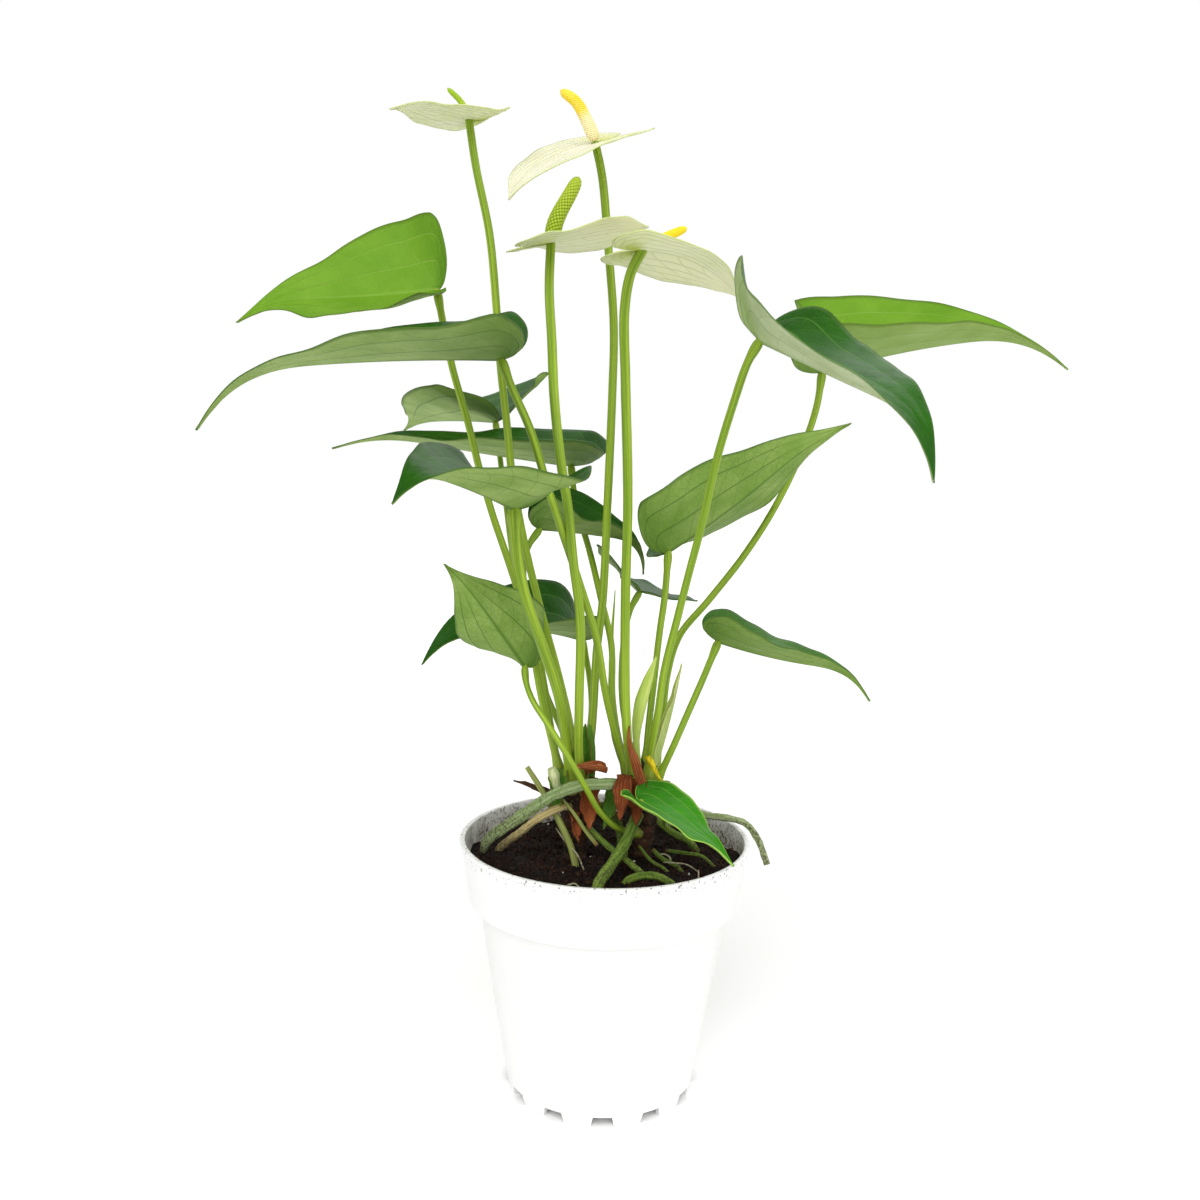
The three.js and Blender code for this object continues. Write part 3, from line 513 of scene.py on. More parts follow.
# A blade as a closed shell, thick at the midrib and thin at the margin. Its attributes
# lead the finish: reach from midrib to margin, share along the margin, arcs and laterals
# for the veins, and under, which is 1 on the underside
def bladeMesh(name, shape, outline, seed):
    margin = outlineHalf(outline)
    lengths = np.concatenate([[0], np.cumsum(np.hypot(*np.diff(margin, axis=0).T))])
    columns, rings = len(margin), outline["rings"]
    ring = np.linspace(0, 1, rings + 1)
    share = np.repeat(lengths / lengths[-1], rings + 1)
    edge = np.repeat(margin, rings + 1, axis=0)
    reach = np.tile(ring, columns)
    start = rayStart(edge[:, 0])
    x = start + (edge[:, 0] - start) * reach
    y = edge[:, 1] * reach
    arcs = np.interp(reach, outline["arcs"], range(len(outline["arcs"])))
    laterals = outline["laterals"] * share - outline["sweep"] * reach ** sideArch
    relief = bladeRelief(outline, share, reach, arcs, laterals, seed)
    # The rib starts at the petiole and thins towards the tip
    ridge = outline["rib"][0] * np.exp(-(y * shape["length"] / outline["rib"][1]) ** 2)
    ridge = ridge * (1 - ribLoss * np.clip(x, 0, 1)) * smoothstep(x, *ribStart)

    fields = {"reach": reach, "arcs": arcs, "laterals": laterals, "share": share,
              "relief": relief, "ridge": ridge}
    values = {label: [] for label in fields}
    points, faces, seen = [], [], {}
    for side in (1, -1):
        bent = bend(shape, x, y, side) * shape["length"]
        index = []
        for i in range(len(x)):
            key = (round(x[i], 5), round(side * y[i], 5))
            if key not in seen:
                seen[key] = len(points)
                points.append(bent[i])
                for label, field in fields.items():
                    values[label].append(field[i])
            index.append(seen[key])
        for column in range(columns - 1):
            for r in range(rings):
                a = index[column * (rings + 1) + r]
                b = index[(column + 1) * (rings + 1) + r]
                c = index[(column + 1) * (rings + 1) + r + 1]
                d = index[column * (rings + 1) + r + 1]
                loop = [a, b, c, d] if side > 0 else [a, d, c, b]
                loop = [v for k, v in enumerate(loop) if v != loop[k - 1]]
                if len(set(loop)) > 2:
                    faces.append(loop)
    middle = np.array(points) @ bladeFrame(shape) + np.array(shape["at"])
    values = {label: np.array(listed) for label, listed in values.items()}
    return shellMesh(name, middle, faces, values, outline["thickness"])


# A closed shell round a middle surface: its own faces on top, their copies below
def shellMesh(name, middle, faces, values, thickness):
    normals = np.zeros_like(middle)
    for loop in faces:
        corners = middle[loop]
        normals[loop] += np.cross(corners[1] - corners[0], corners[2] - corners[0])
        if len(loop) == 4:
            normals[loop] += np.cross(corners[2] - corners[0], corners[3] - corners[0])
    normals /= np.maximum(np.linalg.norm(normals, axis=1, keepdims=True), 1e-12)
    inner, outer = thickness
    half = (outer + (inner - outer) * (1 - values["reach"]) ** thinning) / 2
    shifted = middle + normals * values["relief"][:, None]
    top = shifted + normals * half[:, None]
    bottom = shifted - normals * (half + values["ridge"])[:, None]
    count = len(middle)
    edges = {}
    for loop in faces:
        for k in range(len(loop)):
            pair = (loop[k - 1], loop[k])
            if pair[::-1] in edges:
                del edges[pair[::-1]]
            else:
                edges[pair] = True
    walls = [(b, a, a + count, b + count) for a, b in edges]
    below = [[v + count for v in reversed(loop)] for loop in faces]
    mesh = bpy.data.meshes.new(name)
    mesh.from_pydata([tuple(p) for p in np.concatenate([top, bottom]) * mm], [], faces + below + walls)
    for label in ("reach", "arcs", "laterals", "share"):
        setAttribute(mesh, label, np.tile(values[label], 2))
    setAttribute(mesh, "under", np.repeat([0, 1], count))
    mesh.shade_smooth()
    mesh.update()
    return mesh


# Finishes of the blades

# What several looks share: half widths of the long and the side veins in shares of their
# spacing, how much the fine net and all the veins show, how much light goes in, and how
# strong the darker tone of the heart is, on the leaves partly painted shade, and from where
# to where it fades on the way out
leafTissue = {"lines": (0.045, 0.035), "shown": (0.25, 0.7), "glow": 0.05, "lobes": (0.7, 0.6, 1.6)}
bractTissue = {"lines": (0.09, 0.07), "shown": (0.03, 0.6), "glow": 0.2, "lobes": (1.0, 0.3, 1.2)}
paperyTissue = {"lines": (0.2, 0.1), "shown": (0.2, 0.8), "glow": 0.03, "lobes": (0.3, 0.6, 1.6)}
fleshyTissue = {"lines": (0.12, 0.05), "shown": (0.1, 0.4), "glow": 0.15, "lobes": (0.3, 0.6, 1.6)}
bladeLooks = {
    # light and dark of the upper side, light and dark of the underside, the heart's darker tone
    # above and below, on the leaves partly painted shade, veins above and below, margin,
    # roughness above and below
    "youngLeaf": {
        "name": "waxy young leaf tissue", "slot": "young_leaf", **leafTissue, "shown": (0.15, 0.45),
        "upper": ("#709A28", "#5C8A18"), "under": ("#8CA65A", "#789440"), "heart": ("#4C7812", "#628630"),
        "veins": ("#85A846", "#64842E"), "margin": "#4C681A", "dull": (0.42, 0.55),
    },
    "leaf": {
        "name": "waxy dark leaf tissue", "slot": "mature_leaf", **leafTissue,
        "upper": ("#28600F", "#1A460A"), "under": ("#97AE64", "#728F40"), "heart": ("#143C06", "#456A20"),
        "veins": ("#4C7C28", "#45662A"), "margin": "#38561E", "dull": (0.36, 0.52),
    },
    "silverLeaf": {
        "name": "waxy leaf tissue, silvery below", "slot": "mature_leaf", **leafTissue,
        "upper": ("#28620C", "#194806"), "under": ("#C2CCA6", "#A2B27E"), "heart": ("#143E04", "#84A052"),
        "veins": ("#4C7C28", "#7E9A56"), "margin": "#4A6A2A", "dull": (0.34, 0.5),
    },
    "freshLeaf": {
        "name": "waxy fresh green leaf tissue", "slot": "mature_leaf", **leafTissue, "shown": (0.15, 0.7),
        "upper": ("#3C8A1A", "#2A6E10"), "under": ("#94B45C", "#78A03C"), "heart": ("#236409", "#5C8A28"),
        "veins": ("#74AA3C", "#5C8A30"), "margin": "#A4C850", "dull": (0.36, 0.5),
    },
    "palerLeaf": {
        "name": "waxy mid green leaf tissue", "slot": "paler_leaf", **leafTissue, "shown": (0.4, 0.8),
        "upper": ("#437522", "#2F5E16"), "under": ("#8DA656", "#6B8E34"), "heart": ("#24520E", "#547A24"),
        "veins": ("#648F3A", "#456A22"), "margin": "#41602A", "dull": (0.4, 0.52),
    },
    "spathe": {
        "name": "waxy spathe tissue", "slot": "spathe", **bractTissue,
        # The upper side is cream. The underside's paler cream is painted light, making up for light that
        # reaches the upper side but not the underside
        "upper": ("#E2E0CA", "#D6D5B4"), "under": ("#F2F0D2", "#E7E8BE"), "heart": ("#C2CA58", "#B6C43C"),
        "veins": ("#BCC084", "#B4BE74"), "margin": "#B6C476", "dull": (0.45, 0.5),
    },
    "drySheath": {
        "name": "dry papery sheath", "slot": "dry_sheath", **paperyTissue,
        "upper": ("#A8643A", "#6E3218"), "under": ("#A8663E", "#7A3A1C"), "heart": ("#5A2812", "#54240F"),
        "veins": ("#5A2812", "#54240F"), "margin": "#4A2010", "dull": (0.6, 0.7),
    },
    "darkSheath": {
        "name": "rotted sheath", "slot": "dry_sheath", **paperyTissue,
        "upper": ("#5E4228", "#3A2617"), "under": ("#5E4228", "#3A2617"), "heart": ("#2E1C10", "#2E1C10"),
        "veins": ("#2E1C10", "#2E1C10"), "margin": "#2E1C10", "dull": (0.6, 0.7),
    },
    "oldBase": {
        "name": "green leaf base", "slot": "pale_sheath", **fleshyTissue, "glow": 0.08,
        "upper": ("#5E8E2A", "#38661A"), "under": ("#6B9632", "#42701C"), "heart": ("#8AA648", "#86A244"),
        "veins": ("#86A548", "#2C4A16"), "margin": "#6A4A28", "dull": (0.4, 0.5),
    },
    "paleSheath": {
        "name": "pale fresh sheath", "slot": "pale_sheath", **fleshyTissue, "shown": (0.2, 0.5),
        "upper": ("#C6D284", "#9DB650"), "under": ("#CBD694", "#A6BE5C"), "heart": ("#E0E6B0", "#C8CE8C"),
        "veins": ("#E0E6B0", "#8FA548"), "margin": "#A08A50", "dull": (0.45, 0.5),
    },
    "yellowSheath": {
        "name": "yellowed sheath", "slot": "pale_sheath", **fleshyTissue,
        "upper": ("#E6D628", "#C6B41A"), "under": ("#E4D42C", "#BCA81A"), "heart": ("#8A9A28", "#8A9A28"),
        "veins": ("#A89A1E", "#9A8C1C"), "margin": "#8A7018", "dull": (0.45, 0.5),
    },
}


# Blade tissue: a waxy cuticle that softens the highlights, over mottled cells with a
# net of veins. The spathe is a firm cream bract of the same make
def bladeFinish(look):
    (light, dark), (underLight, underDark) = look["upper"], look["under"]
    (heartAndShadeAbove, heartAndShadeBelow), (above, below), (glossy, dull) = look["heart"], look["veins"], look["dull"]
    (arc, lateral), (net, veined), (heart, near, far) = look["lines"], look["shown"], look["lobes"]
    nodes = {label: ("ShaderNodeAttribute", {"attribute_name": label})
             for label in ("under", "arcs", "laterals", "reach", "share")}
    nodes |= {
        "patches": ("ShaderNodeTexNoise", {"Vector": "@place.Object", "Scale": every(15), "Detail": 3}),
        "patched": ("ShaderNodeMapRange", {"Value": "@patches", "From Min": 0.25, "From Max": 0.75}),
        # Cells and the finest net are drawn coarser than they are, so that they show
        "fine": ("ShaderNodeTexNoise", {"Vector": "@place.Object", "Scale": every(1.8), "Detail": 1}),
        "cells": ("ShaderNodeTexVoronoi", {"feature": "DISTANCE_TO_EDGE", "Vector": "@place.Object",
                                           "Scale": every(2.2)}),
        "upper": ("ShaderNodeMix", {"Factor": "@patched", "A": dark, "B": light}),
        "lower": ("ShaderNodeMix", {"Factor": "@patched", "A": underDark, "B": underLight}),
        "tissue": ("ShaderNodeMix", {"Factor": "@under.Fac", "A": "@upper", "B": "@lower"}),
        "deep": ("ShaderNodeMix", {"Factor": "@under.Fac", "A": heartAndShadeAbove, "B": heartAndShadeBelow}),
        "shade": ("ShaderNodeMix", {"Factor": "@under.Fac", "A": dark, "B": underDark}),
        "veinTone": ("ShaderNodeMix", {"Factor": "@under.Fac", "A": above, "B": below}),
        # The basal lobes round the petiole take a darker tone, deepest by the midrib: the spathes'
        # real yellow-green heart, and on the leaves a deeper green that is partly painted shade
        "lobes": ("ShaderNodeMapRange", {"Value": "@share.Fac", "From Min": 0.22, "From Max": 0.5,
                                         "To Min": heart, "To Max": 0}),
        "inner": ("ShaderNodeMapRange", {"Value": "@reach.Fac", "From Min": near, "From Max": far,
                                         "To Min": 1, "To Max": 0}),
        "heart": ("ShaderNodeMath", {"operation": "MULTIPLY", 0: "@lobes", 1: "@inner"}),
        "toned": ("ShaderNodeMix", {"Factor": "@heart", "A": "@tissue", "B": "@deep"}),
        "speckled": ("ShaderNodeMapRange", {"Value": "@fine", "From Min": 0.5, "From Max": 0.75,
                                            "To Max": 0.22}),
        "grained": ("ShaderNodeMix", {"Factor": "@speckled", "A": "@toned", "B": "@shade"}),
        # Veins: arcs from the petiole to the tip, side veins between them, a fine net
        "tipFade": ("ShaderNodeMapRange", {"Value": "@share.Fac", "From Min": 0.78, "From Max": 0.9,
                                           "To Min": 1, "To Max": 0}),
        "arcAway": ("ShaderNodeMath", {"operation": "PINGPONG", 0: "@arcs.Fac", 1: 0.5}),
        "arcLine": ("ShaderNodeMapRange", {"Value": "@arcAway", "From Min": arc, "From Max": 0.2 * arc}),
        "sideAway": ("ShaderNodeMath", {"operation": "PINGPONG", 0: "@laterals.Fac", 1: 0.5}),
        "sideLine": ("ShaderNodeMapRange", {"Value": "@sideAway", "From Min": lateral, "From Max": 0,
                                            "To Max": 0.6}),
        "netLine": ("ShaderNodeMapRange", {"Value": "@cells", "From Min": 0.07, "From Max": 0,
                                           "To Max": net}),
        "finer": ("ShaderNodeMath", {"operation": "MAXIMUM", 0: "@sideLine", 1: "@netLine"}),
        "lines": ("ShaderNodeMath", {"operation": "MAXIMUM", 0: "@arcLine", 1: "@finer"}),
        "kept": ("ShaderNodeMath", {"operation": "MULTIPLY", 0: "@lines", 1: "@tipFade"}),
        "midrib": ("ShaderNodeMapRange", {"Value": "@arcs.Fac", "From Min": 0.12, "From Max": 0.04,
                                          "To Max": 0.8}),
        "veins": ("ShaderNodeMath", {"operation": "MAXIMUM", 0: "@midrib", 1: "@kept"}),
        "drawn": ("ShaderNodeMath", {"operation": "MULTIPLY", 0: "@veins", 1: veined}),
        "netted": ("ShaderNodeMix", {"Factor": "@drawn", "A": "@grained", "B": "@veinTone"}),
        "rim": ("ShaderNodeMapRange", {"Value": "@reach.Fac", "From Min": 0.94, "From Max": 0.99,
                                       "To Max": 0.7}),
        "skin": ("ShaderNodeMix", {"Factor": "@rim", "A": "@netted", "B": look["margin"]}),
        # Glossier above, veins sunk above and raised below
        "gloss": ("ShaderNodeMapRange", {"Value": "@under.Fac", "To Min": glossy, "To Max": dull}),
        "dull": ("ShaderNodeMath", {"operation": "MULTIPLY_ADD", 0: "@fine", 1: 0.12, 2: "@gloss"}),
        "sign": ("ShaderNodeMapRange", {"Value": "@under.Fac", "To Min": -1, "To Max": 1}),
        "ribbed": ("ShaderNodeMath", {"operation": "MULTIPLY", 0: "@veins", 1: "@sign"}),
        "height": ("ShaderNodeMath", {"operation": "MULTIPLY_ADD", 0: "@fine", 1: 0.12, 2: "@ribbed"}),
    }
    return makeFinish(look["name"], nodes, 0.16, {
        **livingTissue, "Specular IOR Level": 0.12, "Subsurface Weight": look["glow"]})


# Old leaf bases and papery scales round the crowns: foot, length, heading, pitch, width, look
crownScales = (
    ((-9, -7, 128), 28, 70, 80, 0.3, "oldBase"),
    ((-5, -5, 132), 23, 320, 84, 0.46, "oldBase"),
    ((-12.5, -9, 134), 16, 330, 14, 0.32, "drySheath"),
    ((9, -12, 136), 19, 250, -68, 0.34, "drySheath"),
    ((15.4, -14, 144.5), 12, 335, -62, 0.2, "yellowSheath"),
    ((-13, -9, 119), 14, 285, -58, 0.24, "drySheath"),
    ((-17, -9, 137), 18, 250, -70, 0.36, "oldBase"),
    ((-7, -9, 134), 22, 275, -74, 0.34, "drySheath"),
    ((14, -7, 133), 20, 262, -70, 0.36, "drySheath"),
    ((20, -5, 132), 19, 300, -72, 0.34, "oldBase"),
    ((7, -6, 130), 20, 230, -66, 0.32, "oldBase"),
    ((-20, -5, 126), 16, 220, 74, 0.2, "paleSheath"),
)
scaleBends = {"left": 35, "right": 35, "curl": 45, "lobe": 0, "tip": -12, "back": 0}
scaleDroops = (-14, -23, -32)    # in turn
scaleSeed = 80                   # of the first one's waves


def makeBlades():
    finishes = {key: bladeFinish(look) for key, look in bladeLooks.items()}
    for shapes, outline, kind in ((leaves, leafOutline, "blade"), (blooms, spatheOutline, "bract"),
                                  (sheaths, sheathOutline, "scale")):
        for i, (node, shape) in enumerate(shapes.items()):
            look = shape["look"]
            mesh = bladeMesh(node + "_" + kind, shape, outline, i + 1)
            makePiece(mesh.name, mesh, finishes[look], [node])
        print(kind + "s:", len(shapes))
    # Old leaf bases and scales wrap the crowns and overlap, some bent over more than others
    for i, (foot, length, heading, pitch, width, look) in enumerate(crownScales):
        shape = leaf(foot, length, heading, pitch, **scaleBends, droop=scaleDroops[i % 3], width=width)
        mesh = bladeMesh(f"crown_scale_{i + 1:02d}", shape, sheathOutline, scaleSeed + i)
        makePiece(mesh.name, mesh, finishes[look], None)
    print("crown scales:", len(crownScales))


# Stems, roots, shoots and spadices. A route runs from the crown outwards

# A smooth curve through the corners, with a point about every step mm
def smoothRoute(corners, step):
    corners = np.array(corners, float)
    padded = np.concatenate([[2 * corners[0] - corners[1]], corners, [2 * corners[-1] - corners[-2]]])
    gap = np.linalg.norm(np.diff(padded, axis=0), axis=1) ** 0.5
    points = [corners[:1]]
    for i in range(1, len(padded) - 2):
        x0, x1, x2, x3 = padded[i - 1:i + 3]
        d0, d1, d2 = gap[i - 1:i + 2]
        start = ((x1 - x0) / d0 - (x2 - x0) / (d0 + d1) + (x2 - x1) / d1) * d1
        end = ((x2 - x1) / d1 - (x3 - x1) / (d1 + d2) + (x3 - x2) / d2) * d1
        count = max(2, round(np.linalg.norm(x2 - x1) / step))
        t = np.arange(1, count + 1)[:, None] / count
        squared, cubed = 3 * (x2 - x1) - 2 * start - end, 2 * (x1 - x2) + start + end
        points.append(x1 + start * t + squared * t ** 2 + cubed * t ** 3)
    return np.concatenate(points)


# A line as a host mesh for the trees below: its points and their radii in mm
def lineMesh(name, points, radii):
    mesh = bpy.data.meshes.new(name)
    mesh.from_pydata([tuple(p) for p in points * mm], [(i, i + 1) for i in range(len(points) - 1)], [])
    setAttribute(mesh, "radius", np.asarray(radii) * mm)
    return mesh


# A Geometry Nodes tree from its inputs and named nodes; "shape" is the geometry it gives
def makeTree(name, inputs, nodes):
    tree = bpy.data.node_groups.new(name, "GeometryNodeTree")
    tree.interface.new_socket("Geometry", in_out="INPUT", socket_type="NodeSocketGeometry")
    tree.interface.new_socket("Geometry", in_out="OUTPUT", socket_type="NodeSocketGeometry")
    for label, kind in {**inputs, "Finish": "Material"}.items():
        tree.interface.new_socket(label, in_out="INPUT", socket_type="NodeSocket" + kind)
    addNode(tree, "given", "NodeGroupInput", {})
    return addNodes(tree, {
        **nodes,
        "smooth": ("GeometryNodeSetShadeSmooth", {"Geometry": "@shape"}),
        "plain": ("GeometryNodeRealizeInstances", {"Geometry": "@smooth"}),
        "painted": ("GeometryNodeSetMaterial", {"Geometry": "@plain", "Material": "@given.Finish"}),
        "out": ("NodeGroupOutput", {"Geometry": "@painted"}),
    })


# Runs a tree on a host mesh with its inputs set, and gives back the plain mesh
def grow(name, host, tree, values):
    carrier = bpy.data.objects.new(name, host)
    scene.collection.objects.link(carrier)
    modifier = carrier.modifiers.new("grow", "NODES")
    modifier.node_group = tree
    for item in tree.interface.items_tree:
        if item.in_out == "INPUT" and item.name in values:
            modifier[item.identifier] = values[item.name]
    bpy.context.view_layer.update()
    seen = carrier.evaluated_get(bpy.context.evaluated_depsgraph_get())
    mesh = bpy.data.meshes.new_from_object(seen)
    mesh.name = name
    carrier.modifiers.clear()
    bpy.data.objects.remove(carrier)
    bpy.data.meshes.remove(host)
    return mesh


# A tube along the host line, as thick as its radius says and roughened by noise. Its
# attributes lead the finish: along from start to end, around from 0 to 1
def stalkTree():
    return makeTree("stalk", {"Sides": "Int", "Lump size": "Float", "Lump height": "Float"}, {
        "line": ("GeometryNodeMeshToCurve", {"Mesh": "@given.Geometry"}),
        "run": ("GeometryNodeSplineParameter", {}),
        "marked": ("GeometryNodeStoreNamedAttribute", {"Geometry": "@line", "Name": "along",
                                                       "Value": "@run.Factor"}),
        "radius": ("GeometryNodeInputNamedAttribute", {"Name": "radius"}),
        "ring": ("GeometryNodeCurvePrimitiveCircle", {"Radius": 1.0, "Resolution": "@given.Sides"}),
        "rounded": ("GeometryNodeStoreNamedAttribute", {"Geometry": "@ring", "Name": "around",
                                                        "Value": "@run.Factor"}),
        "tube": ("GeometryNodeCurveToMesh", {"Curve": "@marked", "Profile Curve": "@rounded",
                                             "Scale": "@radius", "Fill Caps": True}),
        "scale": ("ShaderNodeMath", {"operation": "DIVIDE", 0: 1.0, 1: "@given.Lump size"}),
        "noise": ("ShaderNodeTexNoise", {"Detail": 3.0, "Scale": "@scale"}),
        "level": ("ShaderNodeMath", {"operation": "SUBTRACT", 0: "@noise", 1: 0.5}),
        "height": ("ShaderNodeMath", {"operation": "MULTIPLY", 0: "@level", 1: "@given.Lump height"}),
        "normal": ("GeometryNodeInputNormal", {}),
        "offset": ("ShaderNodeVectorMath", {"operation": "SCALE", 0: "@normal", "Scale": "@height"}),
        "shape": ("GeometryNodeSetPosition", {"Geometry": "@tube", "Offset": "@offset"}),
    })


stalk = stalkTree()


# A tube with lumps of a size and height, all in mm
def growTube(name, points, radii, sides, lumps, finish):
    size, height = lumps
    return grow(name, lineMesh(name + "_line", points, radii), stalk,
                {"Sides": sides, "Lump size": size * mm, "Lump height": height * mm, "Finish": finish})


goldenAngle = 2.39996    # radians


# Florets in a golden spiral on a tapering core
def spadixTree():
    return makeTree("spadix", {"Count": "Int", "Floret size": "Float"}, {
        "line": ("GeometryNodeMeshToCurve", {"Mesh": "@given.Geometry"}),
        "run": ("GeometryNodeSplineParameter", {}),
        "marked": ("GeometryNodeStoreNamedAttribute", {"Geometry": "@line", "Name": "along",
                                                       "Value": "@run.Factor"}),
        "radius": ("GeometryNodeInputNamedAttribute", {"Name": "radius"}),
        "ring": ("GeometryNodeCurvePrimitiveCircle", {"Radius": 1.0, "Resolution": 24}),
        "core": ("GeometryNodeCurveToMesh", {"Curve": "@marked", "Profile Curve": "@ring",
                                             "Scale": "@radius", "Fill Caps": True}),
        "index": ("GeometryNodeInputIndex", {}),
        "middle": ("ShaderNodeMath", {"operation": "ADD", 0: "@index", 1: 0.5}),
        "share": ("ShaderNodeMath", {"operation": "DIVIDE", 0: "@middle", 1: "@given.Count"}),
        "points": ("GeometryNodePoints", {"Count": "@given.Count"}),
        "sample": ("GeometryNodeSampleCurve", {"Curves": "@marked", "Value": "@radius",
                                               "Factor": "@share"}),
        "angle": ("ShaderNodeMath", {"operation": "MULTIPLY", 0: "@index", 1: goldenAngle}),
        "spin": ("ShaderNodeVectorRotate", {"rotation_type": "AXIS_ANGLE", "Vector": "@sample.Normal",
                                            "Axis": "@sample.Tangent", "Angle": "@angle"}),
        "outwards": ("ShaderNodeVectorMath", {"operation": "SCALE", 0: "@spin", "Scale": "@sample.Value"}),
        "spot": ("ShaderNodeVectorMath", {"operation": "ADD", 0: "@sample.Position", 1: "@outwards"}),
        "placed": ("GeometryNodeSetPosition", {"Geometry": "@points", "Position": "@spot"}),
        "dotted": ("GeometryNodeStoreNamedAttribute", {"Geometry": "@placed", "Name": "along",
                                                       "Value": "@share"}),
        "bud": ("GeometryNodeMeshUVSphere", {"Segments": 8, "Rings": 5, "Radius": 1.0}),
        "place": ("GeometryNodeInputPosition", {}),
        "level": ("ShaderNodeSeparateXYZ", {"Vector": "@place"}),
        # The height on each floret, by which its finish paints shade low down between the florets
        "peaked": ("GeometryNodeStoreNamedAttribute", {"Geometry": "@bud.Mesh", "Name": "peak",
                                                       "Value": "@level.Z"}),
        "turn": ("FunctionNodeAlignRotationToVector", {"axis": "Z", "Vector": "@spin"}),
        "flat": ("ShaderNodeVectorMath", {"operation": "SCALE", 0: (0.95, 0.95, 0.62),
                                          "Scale": "@given.Floret size"}),
        "florets": ("GeometryNodeInstanceOnPoints", {"Points": "@dotted", "Instance": "@peaked",
                                                     "Rotation": "@turn", "Scale": "@flat"}),
        "shape": ("GeometryNodeJoinGeometry", {"Geometry": ["@core", "@florets"]}),
    })


stems = {
    "sides": 14,
    "step": 2.0,
    "lumps": (6, 0.12),        # size and height of the skin's unevenness
    "foot": (14, 1.0),         # length over which a foot widens into its sheath, and by how much
    "neck": (0.26, 9),         # swelling below the blade and its length
    "joint": (0.35, 2.5),      # narrowing where the blade begins and its length
    "into": 0.6,               # how far a stem runs into its blade
}


# Nodes that unroll a tube's skin, round it and along it, so that streaks run lengthwise
fullTurn = 6.2832
unrolled = {
    "along": ("ShaderNodeAttribute", {"attribute_name": "along"}),
    "around": ("ShaderNodeAttribute", {"attribute_name": "around"}),
    "turn": ("ShaderNodeMath", {"operation": "MULTIPLY", 0: "@around.Fac", 1: fullTurn}),
    "sine": ("ShaderNodeMath", {"operation": "SINE", 0: "@turn"}),
    "cosine": ("ShaderNodeMath", {"operation": "COSINE", 0: "@turn"}),
    "unrolled": ("ShaderNodeCombineXYZ", {"X": "@sine", "Y": "@cosine", "Z": "@along.Fac"}),
}


# Stem skin: a smooth waxy rind, satin, with fine lengthwise streaks, paler and then
# brown where it leaves the crown
def stemFinish(name, light, dark, base, dirt):
    return makeFinish(name, {
        **unrolled,
        "streaks": ("ShaderNodeTexNoise", {"Vector": "@unrolled", "Scale": 2.6, "Detail": 5,
                                           "Roughness": 0.6}),
        "spots": ("ShaderNodeTexNoise", {"Vector": "@place.Object", "Scale": every(1.1), "Detail": 2}),
        "streaked": ("ShaderNodeMapRange", {"Value": "@streaks", "From Min": 0.34, "From Max": 0.66}),
        "green": ("ShaderNodeMix", {"Factor": "@streaked", "A": dark, "B": light}),
        "spotted": ("ShaderNodeMapRange", {"Value": "@spots", "From Min": 0.6, "From Max": 0.75,
                                           "To Max": 0.2}),
        "speckled": ("ShaderNodeMix", {"Factor": "@spotted", "A": "@green", "B": dark}),
        "uneven": ("ShaderNodeMath", {"operation": "MULTIPLY_ADD", 0: "@streaks", 1: 0.08,
                                      2: "@along.Fac"}),
        "foot": ("ShaderNodeMapRange", {"Value": "@uneven", "From Min": 0.05, "From Max": 0.16,
                                        "To Min": 0.8, "To Max": 0}),
        "footed": ("ShaderNodeMix", {"Factor": "@foot", "A": "@speckled", "B": base}),
        "low": ("ShaderNodeMapRange", {"Value": "@uneven", "From Min": 0.03, "From Max": 0.08,
                                       "To Min": 0.8, "To Max": 0}),
        "skin": ("ShaderNodeMix", {"Factor": "@low", "A": "@footed", "B": dirt}),
        "dull": ("ShaderNodeMapRange", {"Value": "@streaks", "From Min": 0.2, "From Max": 0.8,
                                        "To Min": 0.36, "To Max": 0.5}),
        "height": ("ShaderNodeMath", {"operation": "ADD", 0: "@streaks", 1: "@spotted"}),
    }, 0.12, {**livingTissue, "Specular IOR Level": 0.25, "Subsurface Weight": 0.08})


def stemRadii(radius, points, isPetiole):
    lengths = np.concatenate([[0], np.cumsum(np.linalg.norm(np.diff(points, axis=0), axis=1))])
    reach, widening = stems["foot"]
    swell = 1 + widening * (1 - smoothstep(lengths, 0, reach))
    if isPetiole:
        toEnd = lengths[-1] - lengths
        more, size = stems["neck"]
        swell = swell + more * (1 - smoothstep(toEnd, 0.5 * size, size))
        less, size = stems["joint"]
        swell = swell * (1 - less * (1 - smoothstep(toEnd, 0, size)))
    return radius * swell


def makeStems():
    finish = stemFinish("waxy green stem skin", "#9AB434", "#62821C", "#8FA03E", "#5E4A2A")
    for node, (radius, route) in {**petioles, **peduncles}.items():
        points = smoothRoute(route, stems["step"])
        last = points[-1] - points[-2]
        points = np.concatenate([points, [points[-1] + last / np.linalg.norm(last) * stems["into"]]])
        radii = stemRadii(radius, points, node in petioles)
        mesh = growTube(node + "_stem", points, radii, stems["sides"], stems["lumps"], finish)
        makePiece(mesh.name, mesh, finish, [node])
    print("stems:", len(petioles) + len(peduncles))
    return finish


